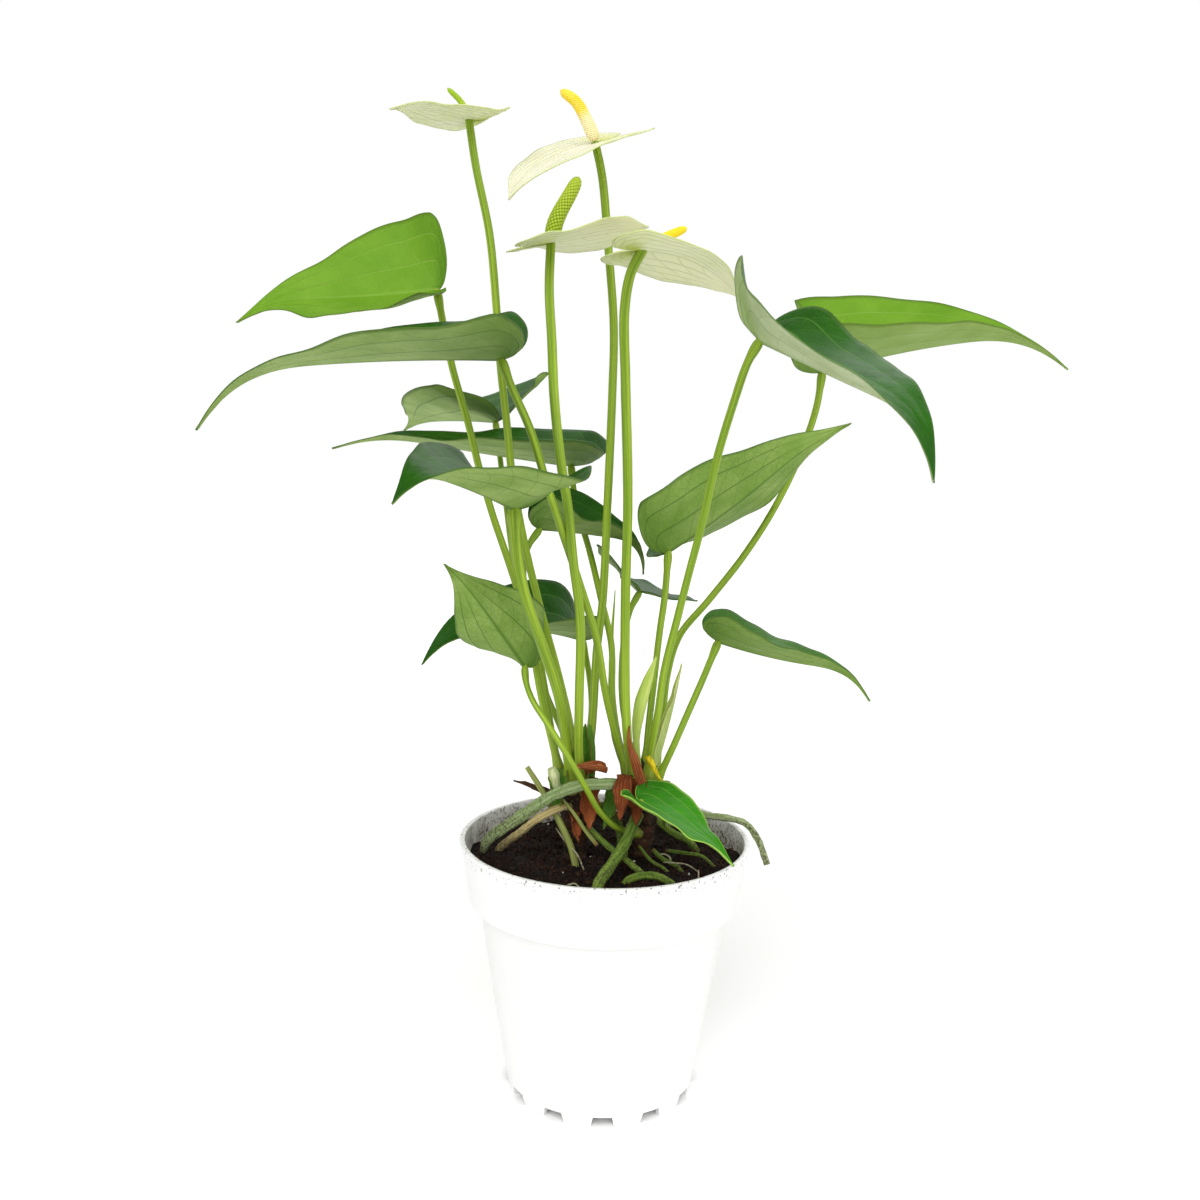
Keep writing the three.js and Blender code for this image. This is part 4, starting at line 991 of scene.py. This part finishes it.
shoots = {
    # radius, route, its width along the way, look, slot and the node that it stands for. The
    # stubs are old petioles broken off, the spear a rolled new leaf, the bud a leaf in its sheath
    "petiole_stub": (
        1.4, ((-10, -14, 92), (-14, -13, 107), (-20, -12, 119), (-26, -11, 129), (-32, -10, 138)),
        (1, 1, 1, 0.9, 0.75), "corky", "stem", ["petiole_stub"]),
    "new_leaf_spear": (
        1.3, ((10, 2, 130), (3, 2, 150), (1, 3, 180), (2, 4, 209)),
        (1.4, 1.15, 0.9, 0.6, 0.15), "green", "stem", ["new_leaf_spear"]),
    "leaf_bud": (
        1.2, ((14, 0, 132), (12, -5, 150), (13, -7, 163), (15, -7, 171), (19, -8, 184)),
        (1, 1, 1.15, 1.9, 2.2, 1.6, 0.3), "pale", "pale_sheath", ["leaf_bud"]),
    "broken_stub": (
        0.9, ((-3, -16, 108), (-8, -15.5, 114), (-12, -15, 120), (-17, -14, 126)),
        (1, 0.9, 0.9, 0.6), "corky", "stem", None),
    "pale_knob": (
        2.3, ((-19, -11, 129), (-20.5, -12, 132), (-20.8, -12.2, 135.5), (-22, -12.5, 138.5)),
        (0.8, 1.05, 0.9, 1.15, 0.7), "knobbly", "pale_sheath", None),
}
shootStep = 1.5
shootLumps = {"corky": (4, 0.2), "green": (4, 0.2), "pale": (4, 0.2), "knobbly": (4, 1.6)}    # size, height


def makeShoots(green):
    finishes = {
        "green": green,
        "corky": stemFinish("old corky petiole stub", "#9AA45A", "#6E7238", "#7A5A3A", "#4A3624"),
        "pale": stemFinish("pale leaf bud", "#CBDA7A", "#A6C050", "#C4C07A", "#8A7A4A"),
        "knobbly": stemFinish("pale cracked callus", "#CDD2A6", "#9CA868", "#A8A470", "#6A5A34"),
    }
    for name, (radius, route, widths, look, slotName, nodes) in shoots.items():
        points = smoothRoute(route, shootStep)
        swell = np.interp(np.linspace(0, 1, len(points)), np.linspace(0, 1, len(widths)), widths)
        finish, lumps = finishes[look], shootLumps[look]
        mesh = growTube(name + "_shoot", points, radius * swell, stems["sides"], lumps, finish)
        makePiece(mesh.name, mesh, finish, nodes)
    print("shoots:", len(shoots))


spadices = {
    # radius, route, size of a floret, colours below and above, where they change, slot
    "spadix_1": (1.2, ((-61, 21, 397), (-64, 20, 402), (-69, 19, 406.6)), 0.42,
                 ("#B4D03A", "#9CC028"), (0.3, 0.7), "green_spadix"),
    "spadix_2": (2.6, ((-10, 24, 389), (-14, 23, 397), (-18, 21, 403), (-24, 19, 406.6)), 0.45,
                 ("#F6F0C0", "#FBDD12"), (0.38, 0.55), "yellow_spadix"),
    "spadix_3": (3.1, ((-26, -1, 346), (-24, 0, 354), (-19, 2, 364), (-16, 3, 370)), 0.78,
                 ("#98AE28", "#A8BC38"), (0.1, 0.9), "green_spadix"),
    "spadix_4": (2.0, ((10, -27, 340), (15, -17, 344), (21, -9, 348), (26, -3, 351)), 0.42,
                 ("#F2E44A", "#F4D90E"), (0.2, 0.6), "yellow_spadix"),
}
spadixForm = {
    "step": 0.7,
    "taper": (1.05, 0.3),     # width at the foot against the radius, and how much it loses to the tip
    "roundness": 8,           # how blunt both ends are
    "packing": 2.6,           # surface that a floret takes, in squares of its size
    "sunk": 0.3,              # how far the florets' middles lie below the surface, in sizes
    "least": 0.05,            # radius of the core's ends
}
# Painted shade for the gaps between the florets, a tone for each colour of spadix
spadixGapShades = {"green_spadix": "#6A8418", "yellow_spadix": "#D8A808"}


# Floret skin: matt and waxy, soft to the eye, each floret darker low down round its foot,
# a painted shade for the gaps between the florets
def spadixFinish(name, below, above, change, seam):
    return makeFinish(name, {
        "along": ("ShaderNodeAttribute", {"attribute_name": "along"}),
        "height": ("ShaderNodeTexNoise", {"Vector": "@place.Object", "Scale": every(0.9), "Detail": 3}),
        "rise": ("ShaderNodeMapRange", {"Value": "@along.Fac", "From Min": change[0],
                                        "From Max": change[1]}),
        "ripe": ("ShaderNodeMix", {"Factor": "@rise", "A": below, "B": above}),
        "tint": ("ShaderNodeMapRange", {"Value": "@height", "From Min": 0.3, "From Max": 0.75,
                                        "To Max": 0.3}),
        "tinted": ("ShaderNodeMix", {"Factor": "@tint", "A": "@ripe", "B": below}),
        # Low on each floret the colour turns to the painted shade of the gaps
        "peak": ("ShaderNodeAttribute", {"attribute_name": "peak"}),
        "seams": ("ShaderNodeMapRange", {"Value": "@peak.Fac", "From Min": 0.35, "From Max": 0.8,
                                         "To Min": 0.5, "To Max": 0}),
        "skin": ("ShaderNodeMix", {"Factor": "@seams", "A": "@tinted", "B": seam}),
        "dull": ("ShaderNodeMapRange", {"Value": "@height", "To Min": 0.5, "To Max": 0.65}),
    }, 0.05, {**livingTissue, "Specular IOR Level": 0.3, "Subsurface Weight": 0.1,
              "Subsurface Scale": 0.6 * mm, "Subsurface Radius": (1.0, 0.9, 0.3)})


def makeSpadices():
    florets = spadixTree()
    wide, loss = spadixForm["taper"]
    step, power = spadixForm["step"], spadixForm["roundness"]
    for node, (radius, route, size, (below, above), change, slotName) in spadices.items():
        points = smoothRoute(route, step)
        t = np.linspace(0, 1, len(points))
        width = radius * np.sqrt(np.maximum(1 - (2 * t - 1) ** power, 0)) * (wide - loss * t)
        length = np.linalg.norm(np.diff(points, axis=0), axis=1).sum()
        count = int(2 * math.pi * radius * length / (size * size * spadixForm["packing"]))
        finish = spadixFinish("waxy florets of " + node, below, above, change, spadixGapShades[slotName])
        core = np.maximum(width - size * spadixForm["sunk"], spadixForm["least"])
        host = lineMesh(node + "_line", points, core)
        values = {"Count": count, "Floret size": size * mm, "Finish": finish}
        mesh = grow(node + "_florets", host, florets, values)
        makePiece(mesh.name, mesh, finish, [node])
        print(node, "florets:", count)


rootLooks = {
    # light and dark skin, slot
    "greenRoot": ("#7C9638", "#435F18", "green_root"),
    "bandRoot": ("#98A878", "#6B824A", "green_root"),
    "greyRoot": ("#A9B488", "#6E8248", "grey_root"),
    "paleRoot": ("#C2B684", "#94824C", "pale_root"),
}
rootForm = {
    "step": 1.0,
    "sides": 18,
    "lumps": (2.4, 0.6),
    "wrinkles": (23, 47, 90),    # swellings along the root, in radians from end to end
    "swelling": 0.035,           # how much each changes the radius
}
ribbonRoot = {"node": "root_1", "wide": 1.15, "thin": 0.62}    # an old root, shrunk flat


# Root skin: dull cork with lengthwise wrinkles, brown at its foot and dusty near the soil
def rootFinish(name, light, dark):
    return makeFinish(name, {
        **unrolled,
        "wrinkles": ("ShaderNodeTexNoise", {"Vector": "@unrolled", "Scale": 3.5, "Detail": 5,
                                            "Roughness": 0.65}),
        "wrinkled": ("ShaderNodeMapRange", {"Value": "@wrinkles", "From Min": 0.4, "From Max": 0.6}),
        "cork": ("ShaderNodeMix", {"Factor": "@wrinkled", "A": dark, "B": light}),
        "crumbs": ("ShaderNodeTexNoise", {"Vector": "@place.Object", "Scale": every(0.9), "Detail": 5}),
        "dusty": ("ShaderNodeMath", {"operation": "MULTIPLY_ADD", 0: "@along.Fac", 1: 0.3, 2: "@crumbs"}),
        "dust": ("ShaderNodeMapRange", {"Value": "@dusty", "From Min": 0.66, "From Max": 0.86,
                                        "To Max": 0.8}),
        "dirty": ("ShaderNodeMix", {"Factor": "@dust", "A": "@cork", "B": "#3E2C1E"}),
        "foot": ("ShaderNodeMapRange", {"Value": "@along.Fac", "From Min": 0.02, "From Max": 0.1,
                                        "To Min": 0.7, "To Max": 0}),
        "skin": ("ShaderNodeMix", {"Factor": "@foot", "A": "@dirty", "B": "#6A4428"}),
        "dull": ("ShaderNodeMapRange", {"Value": "@crumbs", "To Min": 0.62, "To Max": 0.85}),
        "height": ("ShaderNodeMath", {"operation": "ADD", 0: "@wrinkles", 1: "@crumbs"}),
    }, 0.5, {"Specular IOR Level": 0.3})


def makeRoots():
    finishes = {key: rootFinish("corky root skin, " + key, *look[:2]) for key, look in rootLooks.items()}
    for node, (radius, route, look) in roots.items():
        points = smoothRoute(route, rootForm["step"])
        t = np.linspace(0, 1, len(points))
        draw = random.Random(node)
        waves = sum(np.sin(t * count + draw.random() * 6) for count in rootForm["wrinkles"])
        radii = radius * (1 + waves * rootForm["swelling"])
        mesh = growTube(node + "_skin", points, radii, rootForm["sides"], rootForm["lumps"], finishes[look])
        if node == ribbonRoot["node"]:
            flatten(mesh, points)
        makePiece(mesh.name, mesh, finishes[look], [node])
    print("roots:", len(roots))


# Squeezes a tube to a ribbon that stands on edge, by the distance from its line
def flatten(mesh, line):
    spots = np.empty(len(mesh.vertices) * 3)
    mesh.vertices.foreach_get("co", spots)
    spots = spots.reshape(-1, 3) / mm
    nearest = np.argmin(((spots[:, None] - line[None]) ** 2).sum(2), axis=1)
    tangent = np.gradient(line, axis=0)
    side = np.cross(tangent, (0, 0, 1))
    side /= np.linalg.norm(side, axis=1, keepdims=True)
    away = spots - line[nearest]
    across = (away * side[nearest]).sum(1, keepdims=True) * side[nearest]
    spots = line[nearest] + (away - across) * ribbonRoot["wide"] + across * ribbonRoot["thin"]
    mesh.vertices.foreach_set("co", (spots * mm).ravel())


# Crowns, soil and pot

crowns = {
    # foot point, radius, top and number of leaf scars
    "crown_left": ((-12, -3), 8, 137, 9),
    "crown_right": ((15, 2), 8.5, 139, 9),
}
bark = {
    "foot": 90,
    "widths": (0.55, 0.85),    # at the foot and at the top, against the radius
    "widening": (0.1, 0.6),    # where it widens, in shares of its height
    "rounding": (0.75, 1.02),  # and where its top rounds off
    "least": 0.3,
    "rings": 70,
    "sides": 40,
    "lumps": (4.5, 2.2),
    "scar": (0.12, 0.02),      # depth of a leaf scar against the radius, and its spread
}


# Crown bark: corky and nearly black, with brown and green leaf scars showing through
def barkFinish():
    return makeFinish("corky crown bark", {
        "coarse": ("ShaderNodeTexNoise", {"Vector": "@place.Object", "Scale": every(5), "Detail": 4}),
        "height": ("ShaderNodeTexNoise", {"Vector": "@place.Object", "Scale": every(1.2), "Detail": 4}),
        "patched": ("ShaderNodeMapRange", {"Value": "@coarse", "From Min": 0.38, "From Max": 0.62}),
        "bark": ("ShaderNodeMix", {"Factor": "@patched", "A": "#1A0F0A", "B": "#432616"}),
        "worn": ("ShaderNodeMapRange", {"Value": "@height", "From Min": 0.56, "From Max": 0.7,
                                        "To Max": 0.6}),
        "skin": ("ShaderNodeMix", {"Factor": "@worn", "A": "@bark", "B": "#6C6A34"}),
        "dull": ("ShaderNodeMapRange", {"Value": "@height", "To Min": 0.65, "To Max": 0.9}),
    }, 0.8, {"Specular IOR Level": 0.3})


def makeCrowns():
    finish = barkFinish()
    foot, top = bark["widths"]
    depth, spread = bark["scar"]
    for node, ((x, y), radius, height, scars) in crowns.items():
        z = np.linspace(bark["foot"], height, bark["rings"])
        t = (z - bark["foot"]) / (height - bark["foot"])
        scar = 1 - depth * np.exp(-((t * scars + 0.5) % 1 - 0.5) ** 2 / spread)
        width = radius * (foot + (top - foot) * smoothstep(t, *bark["widening"])) * scar
        width = width * np.sqrt(np.maximum(1 - smoothstep(t, *bark["rounding"]), 0))
        points = np.stack([np.full_like(z, x), np.full_like(z, y), z], 1)
        radii = np.maximum(width, bark["least"])
        mesh = growTube(node + "_bark", points, radii, bark["sides"], bark["lumps"], finish)
        makePiece(mesh.name, mesh, finish, [node])
    print("crowns:", len(crowns))


soil = {
    "top": 97,
    "radius": 56.7,
    "foot": 80,
    "footRadius": 52,
    "rings": 70,
    "segments": 180,
    "lumps": 1.6,          # height of the broad lumps
    "grain": 0.55,         # and of the fine ones
    "heap": (0.05, 30),    # slope of the low heap round the crowns and its radius
}


# Height of the soil's surface, a formula of slow waves and quick ones
def soilHeight(x, y):
    slant, reach = soil["heap"]
    broad = np.sin(x / 7.3 + 1.1) * np.cos(y / 8.1) + 0.6 * np.sin((x + y) / 4.3)
    fine = np.sin(x * 1.7 + 2 * np.sin(y * 0.9)) * np.sin(y * 1.9 + 2 * np.sin(x * 1.1))
    heap = slant * np.maximum(reach - np.hypot(x, y), 0)
    return soil["top"] + soil["lumps"] * broad + heap + soil["grain"] * fine


# A shell turned round the axis from a profile of radii and heights. A radius of 0 is a pole
def lathe(name, profile, segments):
    angle = np.arange(segments) / segments * 2 * np.pi
    points, faces = [], []
    for r, z in profile:
        if r == 0:
            points.append((0, 0, z * mm))
        else:
            points.extend((r * np.cos(a) * mm, r * np.sin(a) * mm, z * mm) for a in angle)
    first = 0
    for (r0, _), (r1, _) in zip(profile, profile[1:]):
        after = first + (1 if r0 == 0 else segments)
        for i in range(segments):
            j = (i + 1) % segments
            if r0 == 0:
                faces.append((first, after + j, after + i))
            elif r1 == 0:
                faces.append((first + i, first + j, after))
            else:
                faces.append((first + i, first + j, after + j, after + i))
        first = after
    mesh = bpy.data.meshes.new(name)
    mesh.from_pydata(points, [], faces)
    mesh.update()
    return mesh


# Lays the points of a mesh that lie at the soil's top on its lumpy surface
def settle(mesh):
    points = np.empty(len(mesh.vertices) * 3)
    mesh.vertices.foreach_get("co", points)
    points = points.reshape(-1, 3)
    upper = points[:, 2] > (soil["top"] - 1) * mm
    points[upper, 2] = soilHeight(points[upper, 0] / mm, points[upper, 1] / mm) * mm
    mesh.vertices.foreach_set("co", points.ravel())


# Loose earth, bark or stone: two tones broken up finely, and darker damp patches
def earthFinish(name, light, dark):
    return makeFinish(name, {
        "coarse": ("ShaderNodeTexNoise", {"Vector": "@place.Object", "Scale": every(6), "Detail": 4}),
        "height": ("ShaderNodeTexNoise", {"Vector": "@place.Object", "Scale": every(0.9), "Detail": 5}),
        "broken": ("ShaderNodeMapRange", {"Value": "@height", "From Min": 0.45, "From Max": 0.7}),
        "earth": ("ShaderNodeMix", {"Factor": "@broken", "A": dark, "B": light}),
        "damp": ("ShaderNodeMapRange", {"Value": "@coarse", "From Min": 0.3, "From Max": 0.7, "To Min": 0.6,
                                        "To Max": 0}),
        "skin": ("ShaderNodeMix", {"Factor": "@damp", "A": "@earth", "B": dark}),
        "dull": ("ShaderNodeMapRange", {"Value": "@height", "To Min": 0.75, "To Max": 0.95}),
    }, 0.9, {"Specular IOR Level": 0.15})


def makeSoil():
    radii = np.linspace(0, soil["radius"], soil["rings"] + 1)
    foot = [(0, soil["foot"]), (soil["footRadius"], soil["foot"])]
    mesh = lathe("soil_bed", foot + [(r, soil["top"]) for r in radii[::-1]], soil["segments"])
    settle(mesh)
    mesh.shade_smooth()
    makePiece("soil_bed", mesh, earthFinish("damp peat soil", "#33231A", "#0B0605"), ["soil"])
    print("soil")


pot = {
    # profile of the wall as radius and height, outside from the middle up, then inside
    "outside": ((0, 0), (10, 0), (10.4, 5.6), (35.8, 5.6), (36.4, 0), (38.2, 0), (38.7, 0.4), (39, 1.6),
                (51.8, 79.5), (52.2, 80.3), (53, 80.6), (55.2, 81.1), (55.8, 81.5), (56.1, 82.5),
                (59.2, 104.5), (59.7, 104.8), (60, 105.2), (60, 105.9), (59.8, 106.3), (59.4, 106.5)),
    "inside": ((58.2, 106.5), (57.8, 106.3), (57.6, 105.7), (54.7, 82.5), (54.3, 81.2), (50.4, 80.1),
               (36, 8.6), (35.2, 7.4), (34.2, 7), (0, 7)),
    "segments": 192,
    "creases": 35,                            # edges bent more than this many degrees stay sharp
    "notches": 12,                            # drain notches round the foot
    "notchTurn": 0.08,                        # how far the first is turned, in notches
    "notchReach": (33, 41),                   # the wall that they cut, as radii
    "notchSection": ((9.8, -1), (7.6, 4.4)),  # width and height, below and above
    "mudBand": (106, 101),                    # heights where mud on the inner wall begins and is full
    "fleckBand": (100, 105),                  # the same of the flecks of earth outside, below the lip
}
cutterSides = ((0, 1, 3, 2), (4, 6, 7, 5), (0, 4, 5, 1), (2, 3, 7, 6), (0, 2, 6, 4), (1, 5, 7, 3))


# Pot: injection moulded white polypropylene, satin, its inner wall grey with dried mud
def potFinish():
    (mudTop, mudFull), (fleckFoot, fleckFull) = pot["mudBand"], pot["fleckBand"]
    return makeFinish("white moulded polypropylene", {
        "inside": ("ShaderNodeAttribute", {"attribute_name": "inside"}),
        "level": ("ShaderNodeSeparateXYZ", {"Vector": "@place.Object"}),
        "patches": ("ShaderNodeTexNoise", {"Vector": "@place.Object", "Scale": every(9), "Detail": 5}),
        "height": ("ShaderNodeTexNoise", {"Vector": "@place.Object", "Scale": every(1.3), "Detail": 4}),
        "clouded": ("ShaderNodeMapRange", {"Value": "@patches", "From Min": 0.3, "From Max": 0.7,
                                           "To Max": 0.35}),
        "plastic": ("ShaderNodeMix", {"Factor": "@clouded", "A": "#E8E8E7", "B": "#E1E1DF"}),
        "splashed": ("ShaderNodeMapRange", {"Value": "@patches", "From Min": 0.36, "From Max": 0.56,
                                            "To Min": 0.5}),
        "low": ("ShaderNodeMapRange", {"Value": "@level.Z", "From Min": mudTop * mm,
                                       "From Max": mudFull * mm, "To Min": 0.3, "To Max": 0.9}),
        "mudLow": ("ShaderNodeMath", {"operation": "MULTIPLY", 0: "@splashed", 1: "@low"}),
        "mud": ("ShaderNodeMath", {"operation": "MULTIPLY", 0: "@mudLow", 1: "@inside.Fac"}),
        "muddy": ("ShaderNodeMix", {"Factor": "@mud", "A": "@plastic", "B": "#9A9488"}),
        "crumbed": ("ShaderNodeMapRange", {"Value": "@height", "From Min": 0.52, "From Max": 0.57}),
        "crumbs": ("ShaderNodeMath", {"operation": "MULTIPLY", 0: "@crumbed", 1: "@mud"}),
        # A few flecks of earth stick to the outside, just below the lip
        "high": ("ShaderNodeMapRange", {"Value": "@level.Z", "From Min": fleckFoot * mm,
                                        "From Max": fleckFull * mm, "To Max": 0.8}),
        "flecked": ("ShaderNodeMapRange", {"Value": "@height", "From Min": 0.61, "From Max": 0.65}),
        "flecks": ("ShaderNodeMath", {"operation": "MULTIPLY", 0: "@flecked", 1: "@high"}),
        "specks": ("ShaderNodeMath", {"operation": "MAXIMUM", 0: "@crumbs", 1: "@flecks"}),
        "skin": ("ShaderNodeMix", {"Factor": "@specks", "A": "@muddy", "B": "#3A2A20"}),
        "dull": ("ShaderNodeMapRange", {"Value": "@height", "To Min": 0.3, "To Max": 0.42}),
    }, 0.03, {"IOR": 1.49})


# A wedge for each drain notch, wider below
def notchCutter():
    points, faces = [], []
    for i in range(pot["notches"]):
        angle = (i + pot["notchTurn"]) * 2 * math.pi / pot["notches"]
        out = Vector((math.sin(angle), -math.cos(angle), 0))
        along = Vector((out.y, -out.x, 0))
        first = len(points)
        for radius in pot["notchReach"]:
            for width, height in pot["notchSection"]:
                for side in (-1, 1):
                    points.append((out * radius + along * side * width / 2 + Vector((0, 0, height))) * mm)
        faces.extend([first + k for k in loop] for loop in cutterSides)
    mesh = bpy.data.meshes.new("notches")
    mesh.from_pydata(points, [], faces)
    return mesh


def makePot():
    mesh = lathe("pot_shell", pot["outside"] + pot["inside"], pot["segments"])
    outer = 1 + (len(pot["outside"]) - 1) * pot["segments"]
    setAttribute(mesh, "inside", np.arange(len(mesh.vertices)) >= outer)
    shell = bpy.data.objects.new("shell", mesh)
    cutter = bpy.data.objects.new("notches", notchCutter())
    for item in (shell, cutter):
        scene.collection.objects.link(item)
    cut = shell.modifiers.new("cut", "BOOLEAN")
    cut.object = cutter
    cut.operation = "DIFFERENCE"
    cut.solver = "EXACT"
    bpy.context.view_layer.update()
    done = bpy.data.meshes.new_from_object(shell.evaluated_get(bpy.context.evaluated_depsgraph_get()))
    for item in (shell, cutter):
        bpy.data.objects.remove(item)
    done.set_sharp_from_angle(angle=math.radians(pot["creases"]))
    makePiece("pot_shell", done, potFinish(), ["pot"])
    print("pot:", len(done.polygons), "faces")


anyTurn = (6.28, 6.28, 6.28)


# Loose grains: one grain scattered over a surface, turned and sized at random
def scatterTree():
    inputs = dict.fromkeys(("Density", "Smallest", "Largest", "Above"), "Float")
    return makeTree("scatter", {"Grain": "Object", "Seed": "Int", **inputs}, {
        "spread": ("GeometryNodeDistributePointsOnFaces", {"Mesh": "@given.Geometry",
                                                           "Density": "@given.Density",
                                                           "Seed": "@given.Seed"}),
        "grain": ("GeometryNodeObjectInfo", {"Object": "@given.Grain"}),
        "turn": ("FunctionNodeRandomValue", {"data_type": "FLOAT_VECTOR", "Min": (0, 0, 0), "Max": anyTurn,
                                             "Seed": "@given.Seed"}),
        "size": ("FunctionNodeRandomValue", {"data_type": "FLOAT", "Min": "@given.Smallest",
                                             "Max": "@given.Largest", "Seed": "@given.Seed"}),
        "above": ("ShaderNodeCombineXYZ", {"Z": "@given.Above"}),
        "lifted": ("GeometryNodeSetPosition", {"Geometry": "@spread.Points", "Offset": "@above"}),
        "shape": ("GeometryNodeInstanceOnPoints", {"Points": "@lifted", "Instance": "@grain.Geometry",
                                                   "Rotation": "@turn", "Scale": "@size"}),
    })


grains = {
    # kind, grains per square metre, size range, height over the soil, seed, colours
    "soil_crumbs": ("crumb", 150000, (0.35, 1.2), -0.1, 3, ("#4C2E20", "#0C0605")),
    "soil_lumps": ("crumb", 14000, (1.1, 2.4), -0.4, 5, ("#46301F", "#120A06")),
    "perlite_grains": ("crumb", 1300, (0.35, 0.7), 0.3, 8, ("#F0EEE8", "#D6D0C4")),
    "bark_fibres": ("fibre", 20000, (0.4, 1.2), 0.3, 11, ("#7A4A2C", "#3E2216")),
}
crumb = {"radius": 1.1, "rough": (0.75, 0.5), "flat": 0.75}    # rough is the least size and the most on top
# beats says how quickly a fibre waves sideways and upwards and changes its radius
fibre = {"points": 8, "waves": (0.5, 0.35), "radius": (0.13, 0.05), "beats": (0.9, 0.7, 2.1), "sides": 4,
         "lumps": (1, 0.05)}
grainBed = {"rings": 40, "segments": 90, "margin": 1.5}
rootletForm = {"step": 0.8, "sides": 8, "lumps": (2, 0.3)}
# Thin roots that lie on the soil: radius, route and colour
rootlets = (
    (0.9, ((20, -6, 103), (24, -11, 101), (29, -14, 99.5), (32, -19, 98)), "green"),
    (0.8, ((26, 2, 100), (33, -3, 101), (40, -5, 100.5), (45, -11, 98)), "green"),
    (0.7, ((14, -10, 106), (19, -16, 102), (24, -19, 100), (27, -22, 98)), "green"),
    (0.3, ((37, -30, 104), (37, -31, 101), (36, -33, 99.5), (35, -35, 98.5)), "pale"),
    (0.35, ((22, -6, 101), (25, -8, 102), (27, -10, 101), (27, -13, 100), (31, -14, 99.5)), "pale"),
    (0.3, ((24, -12, 100), (28, -15, 101), (33, -15, 100.5), (38, -19, 99)), "pale"),
    (0.3, ((-14, -38, 99.5), (-11, -39, 100.5), (-9, -42, 99.5), (-9, -46, 98)), "pale"),
    (0.35, ((-20, -8, 112), (-16, -12, 108), (-11, -16, 104), (-8, -20, 99)), "pale"),
)


# One loose grain: a wavy shred of bark, or a lumpy crumb of few faces
def grainMesh(name, kind, finish):
    if kind == "fibre":
        i = np.arange(fibre["points"])
        (sideways, upwards), (thick, change) = fibre["waves"], fibre["radius"]
        aside, above, along = fibre["beats"]
        middle = (fibre["points"] - 1) / 2
        points = np.stack([i - middle, sideways * np.sin(i * aside), upwards * np.cos(i * above)], 1)
        radii = thick + change * np.sin(i * along)
        return growTube(name + "_one", points, radii, fibre["sides"], fibre["lumps"], finish)
    draw = random.Random(name)
    least, most = crumb["rough"]
    ball = bpy.data.meshes.new(name)
    form = bmesh.new()
    bmesh.ops.create_icosphere(form, subdivisions=1, radius=crumb["radius"] * mm)
    for vertex in form.verts:
        vertex.co *= least + most * draw.random()
        vertex.co.z *= crumb["flat"]
    form.to_mesh(ball)
    form.free()
    return ball


def makeGrains():
    scatter = scatterTree()
    radii = np.linspace(0, soil["radius"] - grainBed["margin"], grainBed["rings"])
    for name, (kind, density, (smallest, largest), above, seed, (light, dark)) in grains.items():
        finish = earthFinish("loose " + name.replace("_", " "), light, dark)
        grain = bpy.data.objects.new(name + "_grain", grainMesh(name, kind, finish))
        scene.collection.objects.link(grain)
        host = lathe(name + "_host", [(r, soil["top"]) for r in radii[::-1]], grainBed["segments"])
        settle(host)
        mesh = grow(name, host, scatter, {
            "Grain": grain, "Density": float(density), "Smallest": smallest, "Largest": largest,
            "Above": above * mm, "Seed": seed, "Finish": finish})
        bpy.data.objects.remove(grain)
        makePiece(name, mesh, finish, None)
        print(name, len(mesh.polygons), "faces")


def makeRootlets():
    finishes = {"pale": rootFinish("fine pale rootlet", "#CFC8A8", "#A39A74"),
                "green": rootFinish("thin mossy root", "#7A9434", "#3E5A16")}
    for i, (radius, route, look) in enumerate(rootlets):
        points = smoothRoute(route, rootletForm["step"])
        radii = np.full(len(points), radius)
        finish, sides, lumps = finishes[look], rootletForm["sides"], rootletForm["lumps"]
        mesh = growTube(f"rootlet_{i + 1}", points, radii, sides, lumps, finish)
        makePiece(mesh.name, mesh, finish, None)
    print("rootlets:", len(rootlets))


placeCamera()
lightStudio()
makePot()
makeSoil()
makeGrains()
makeRootlets()
makeCrowns()
makeRoots()
makeShoots(makeStems())
makeSpadices()
makeBlades()
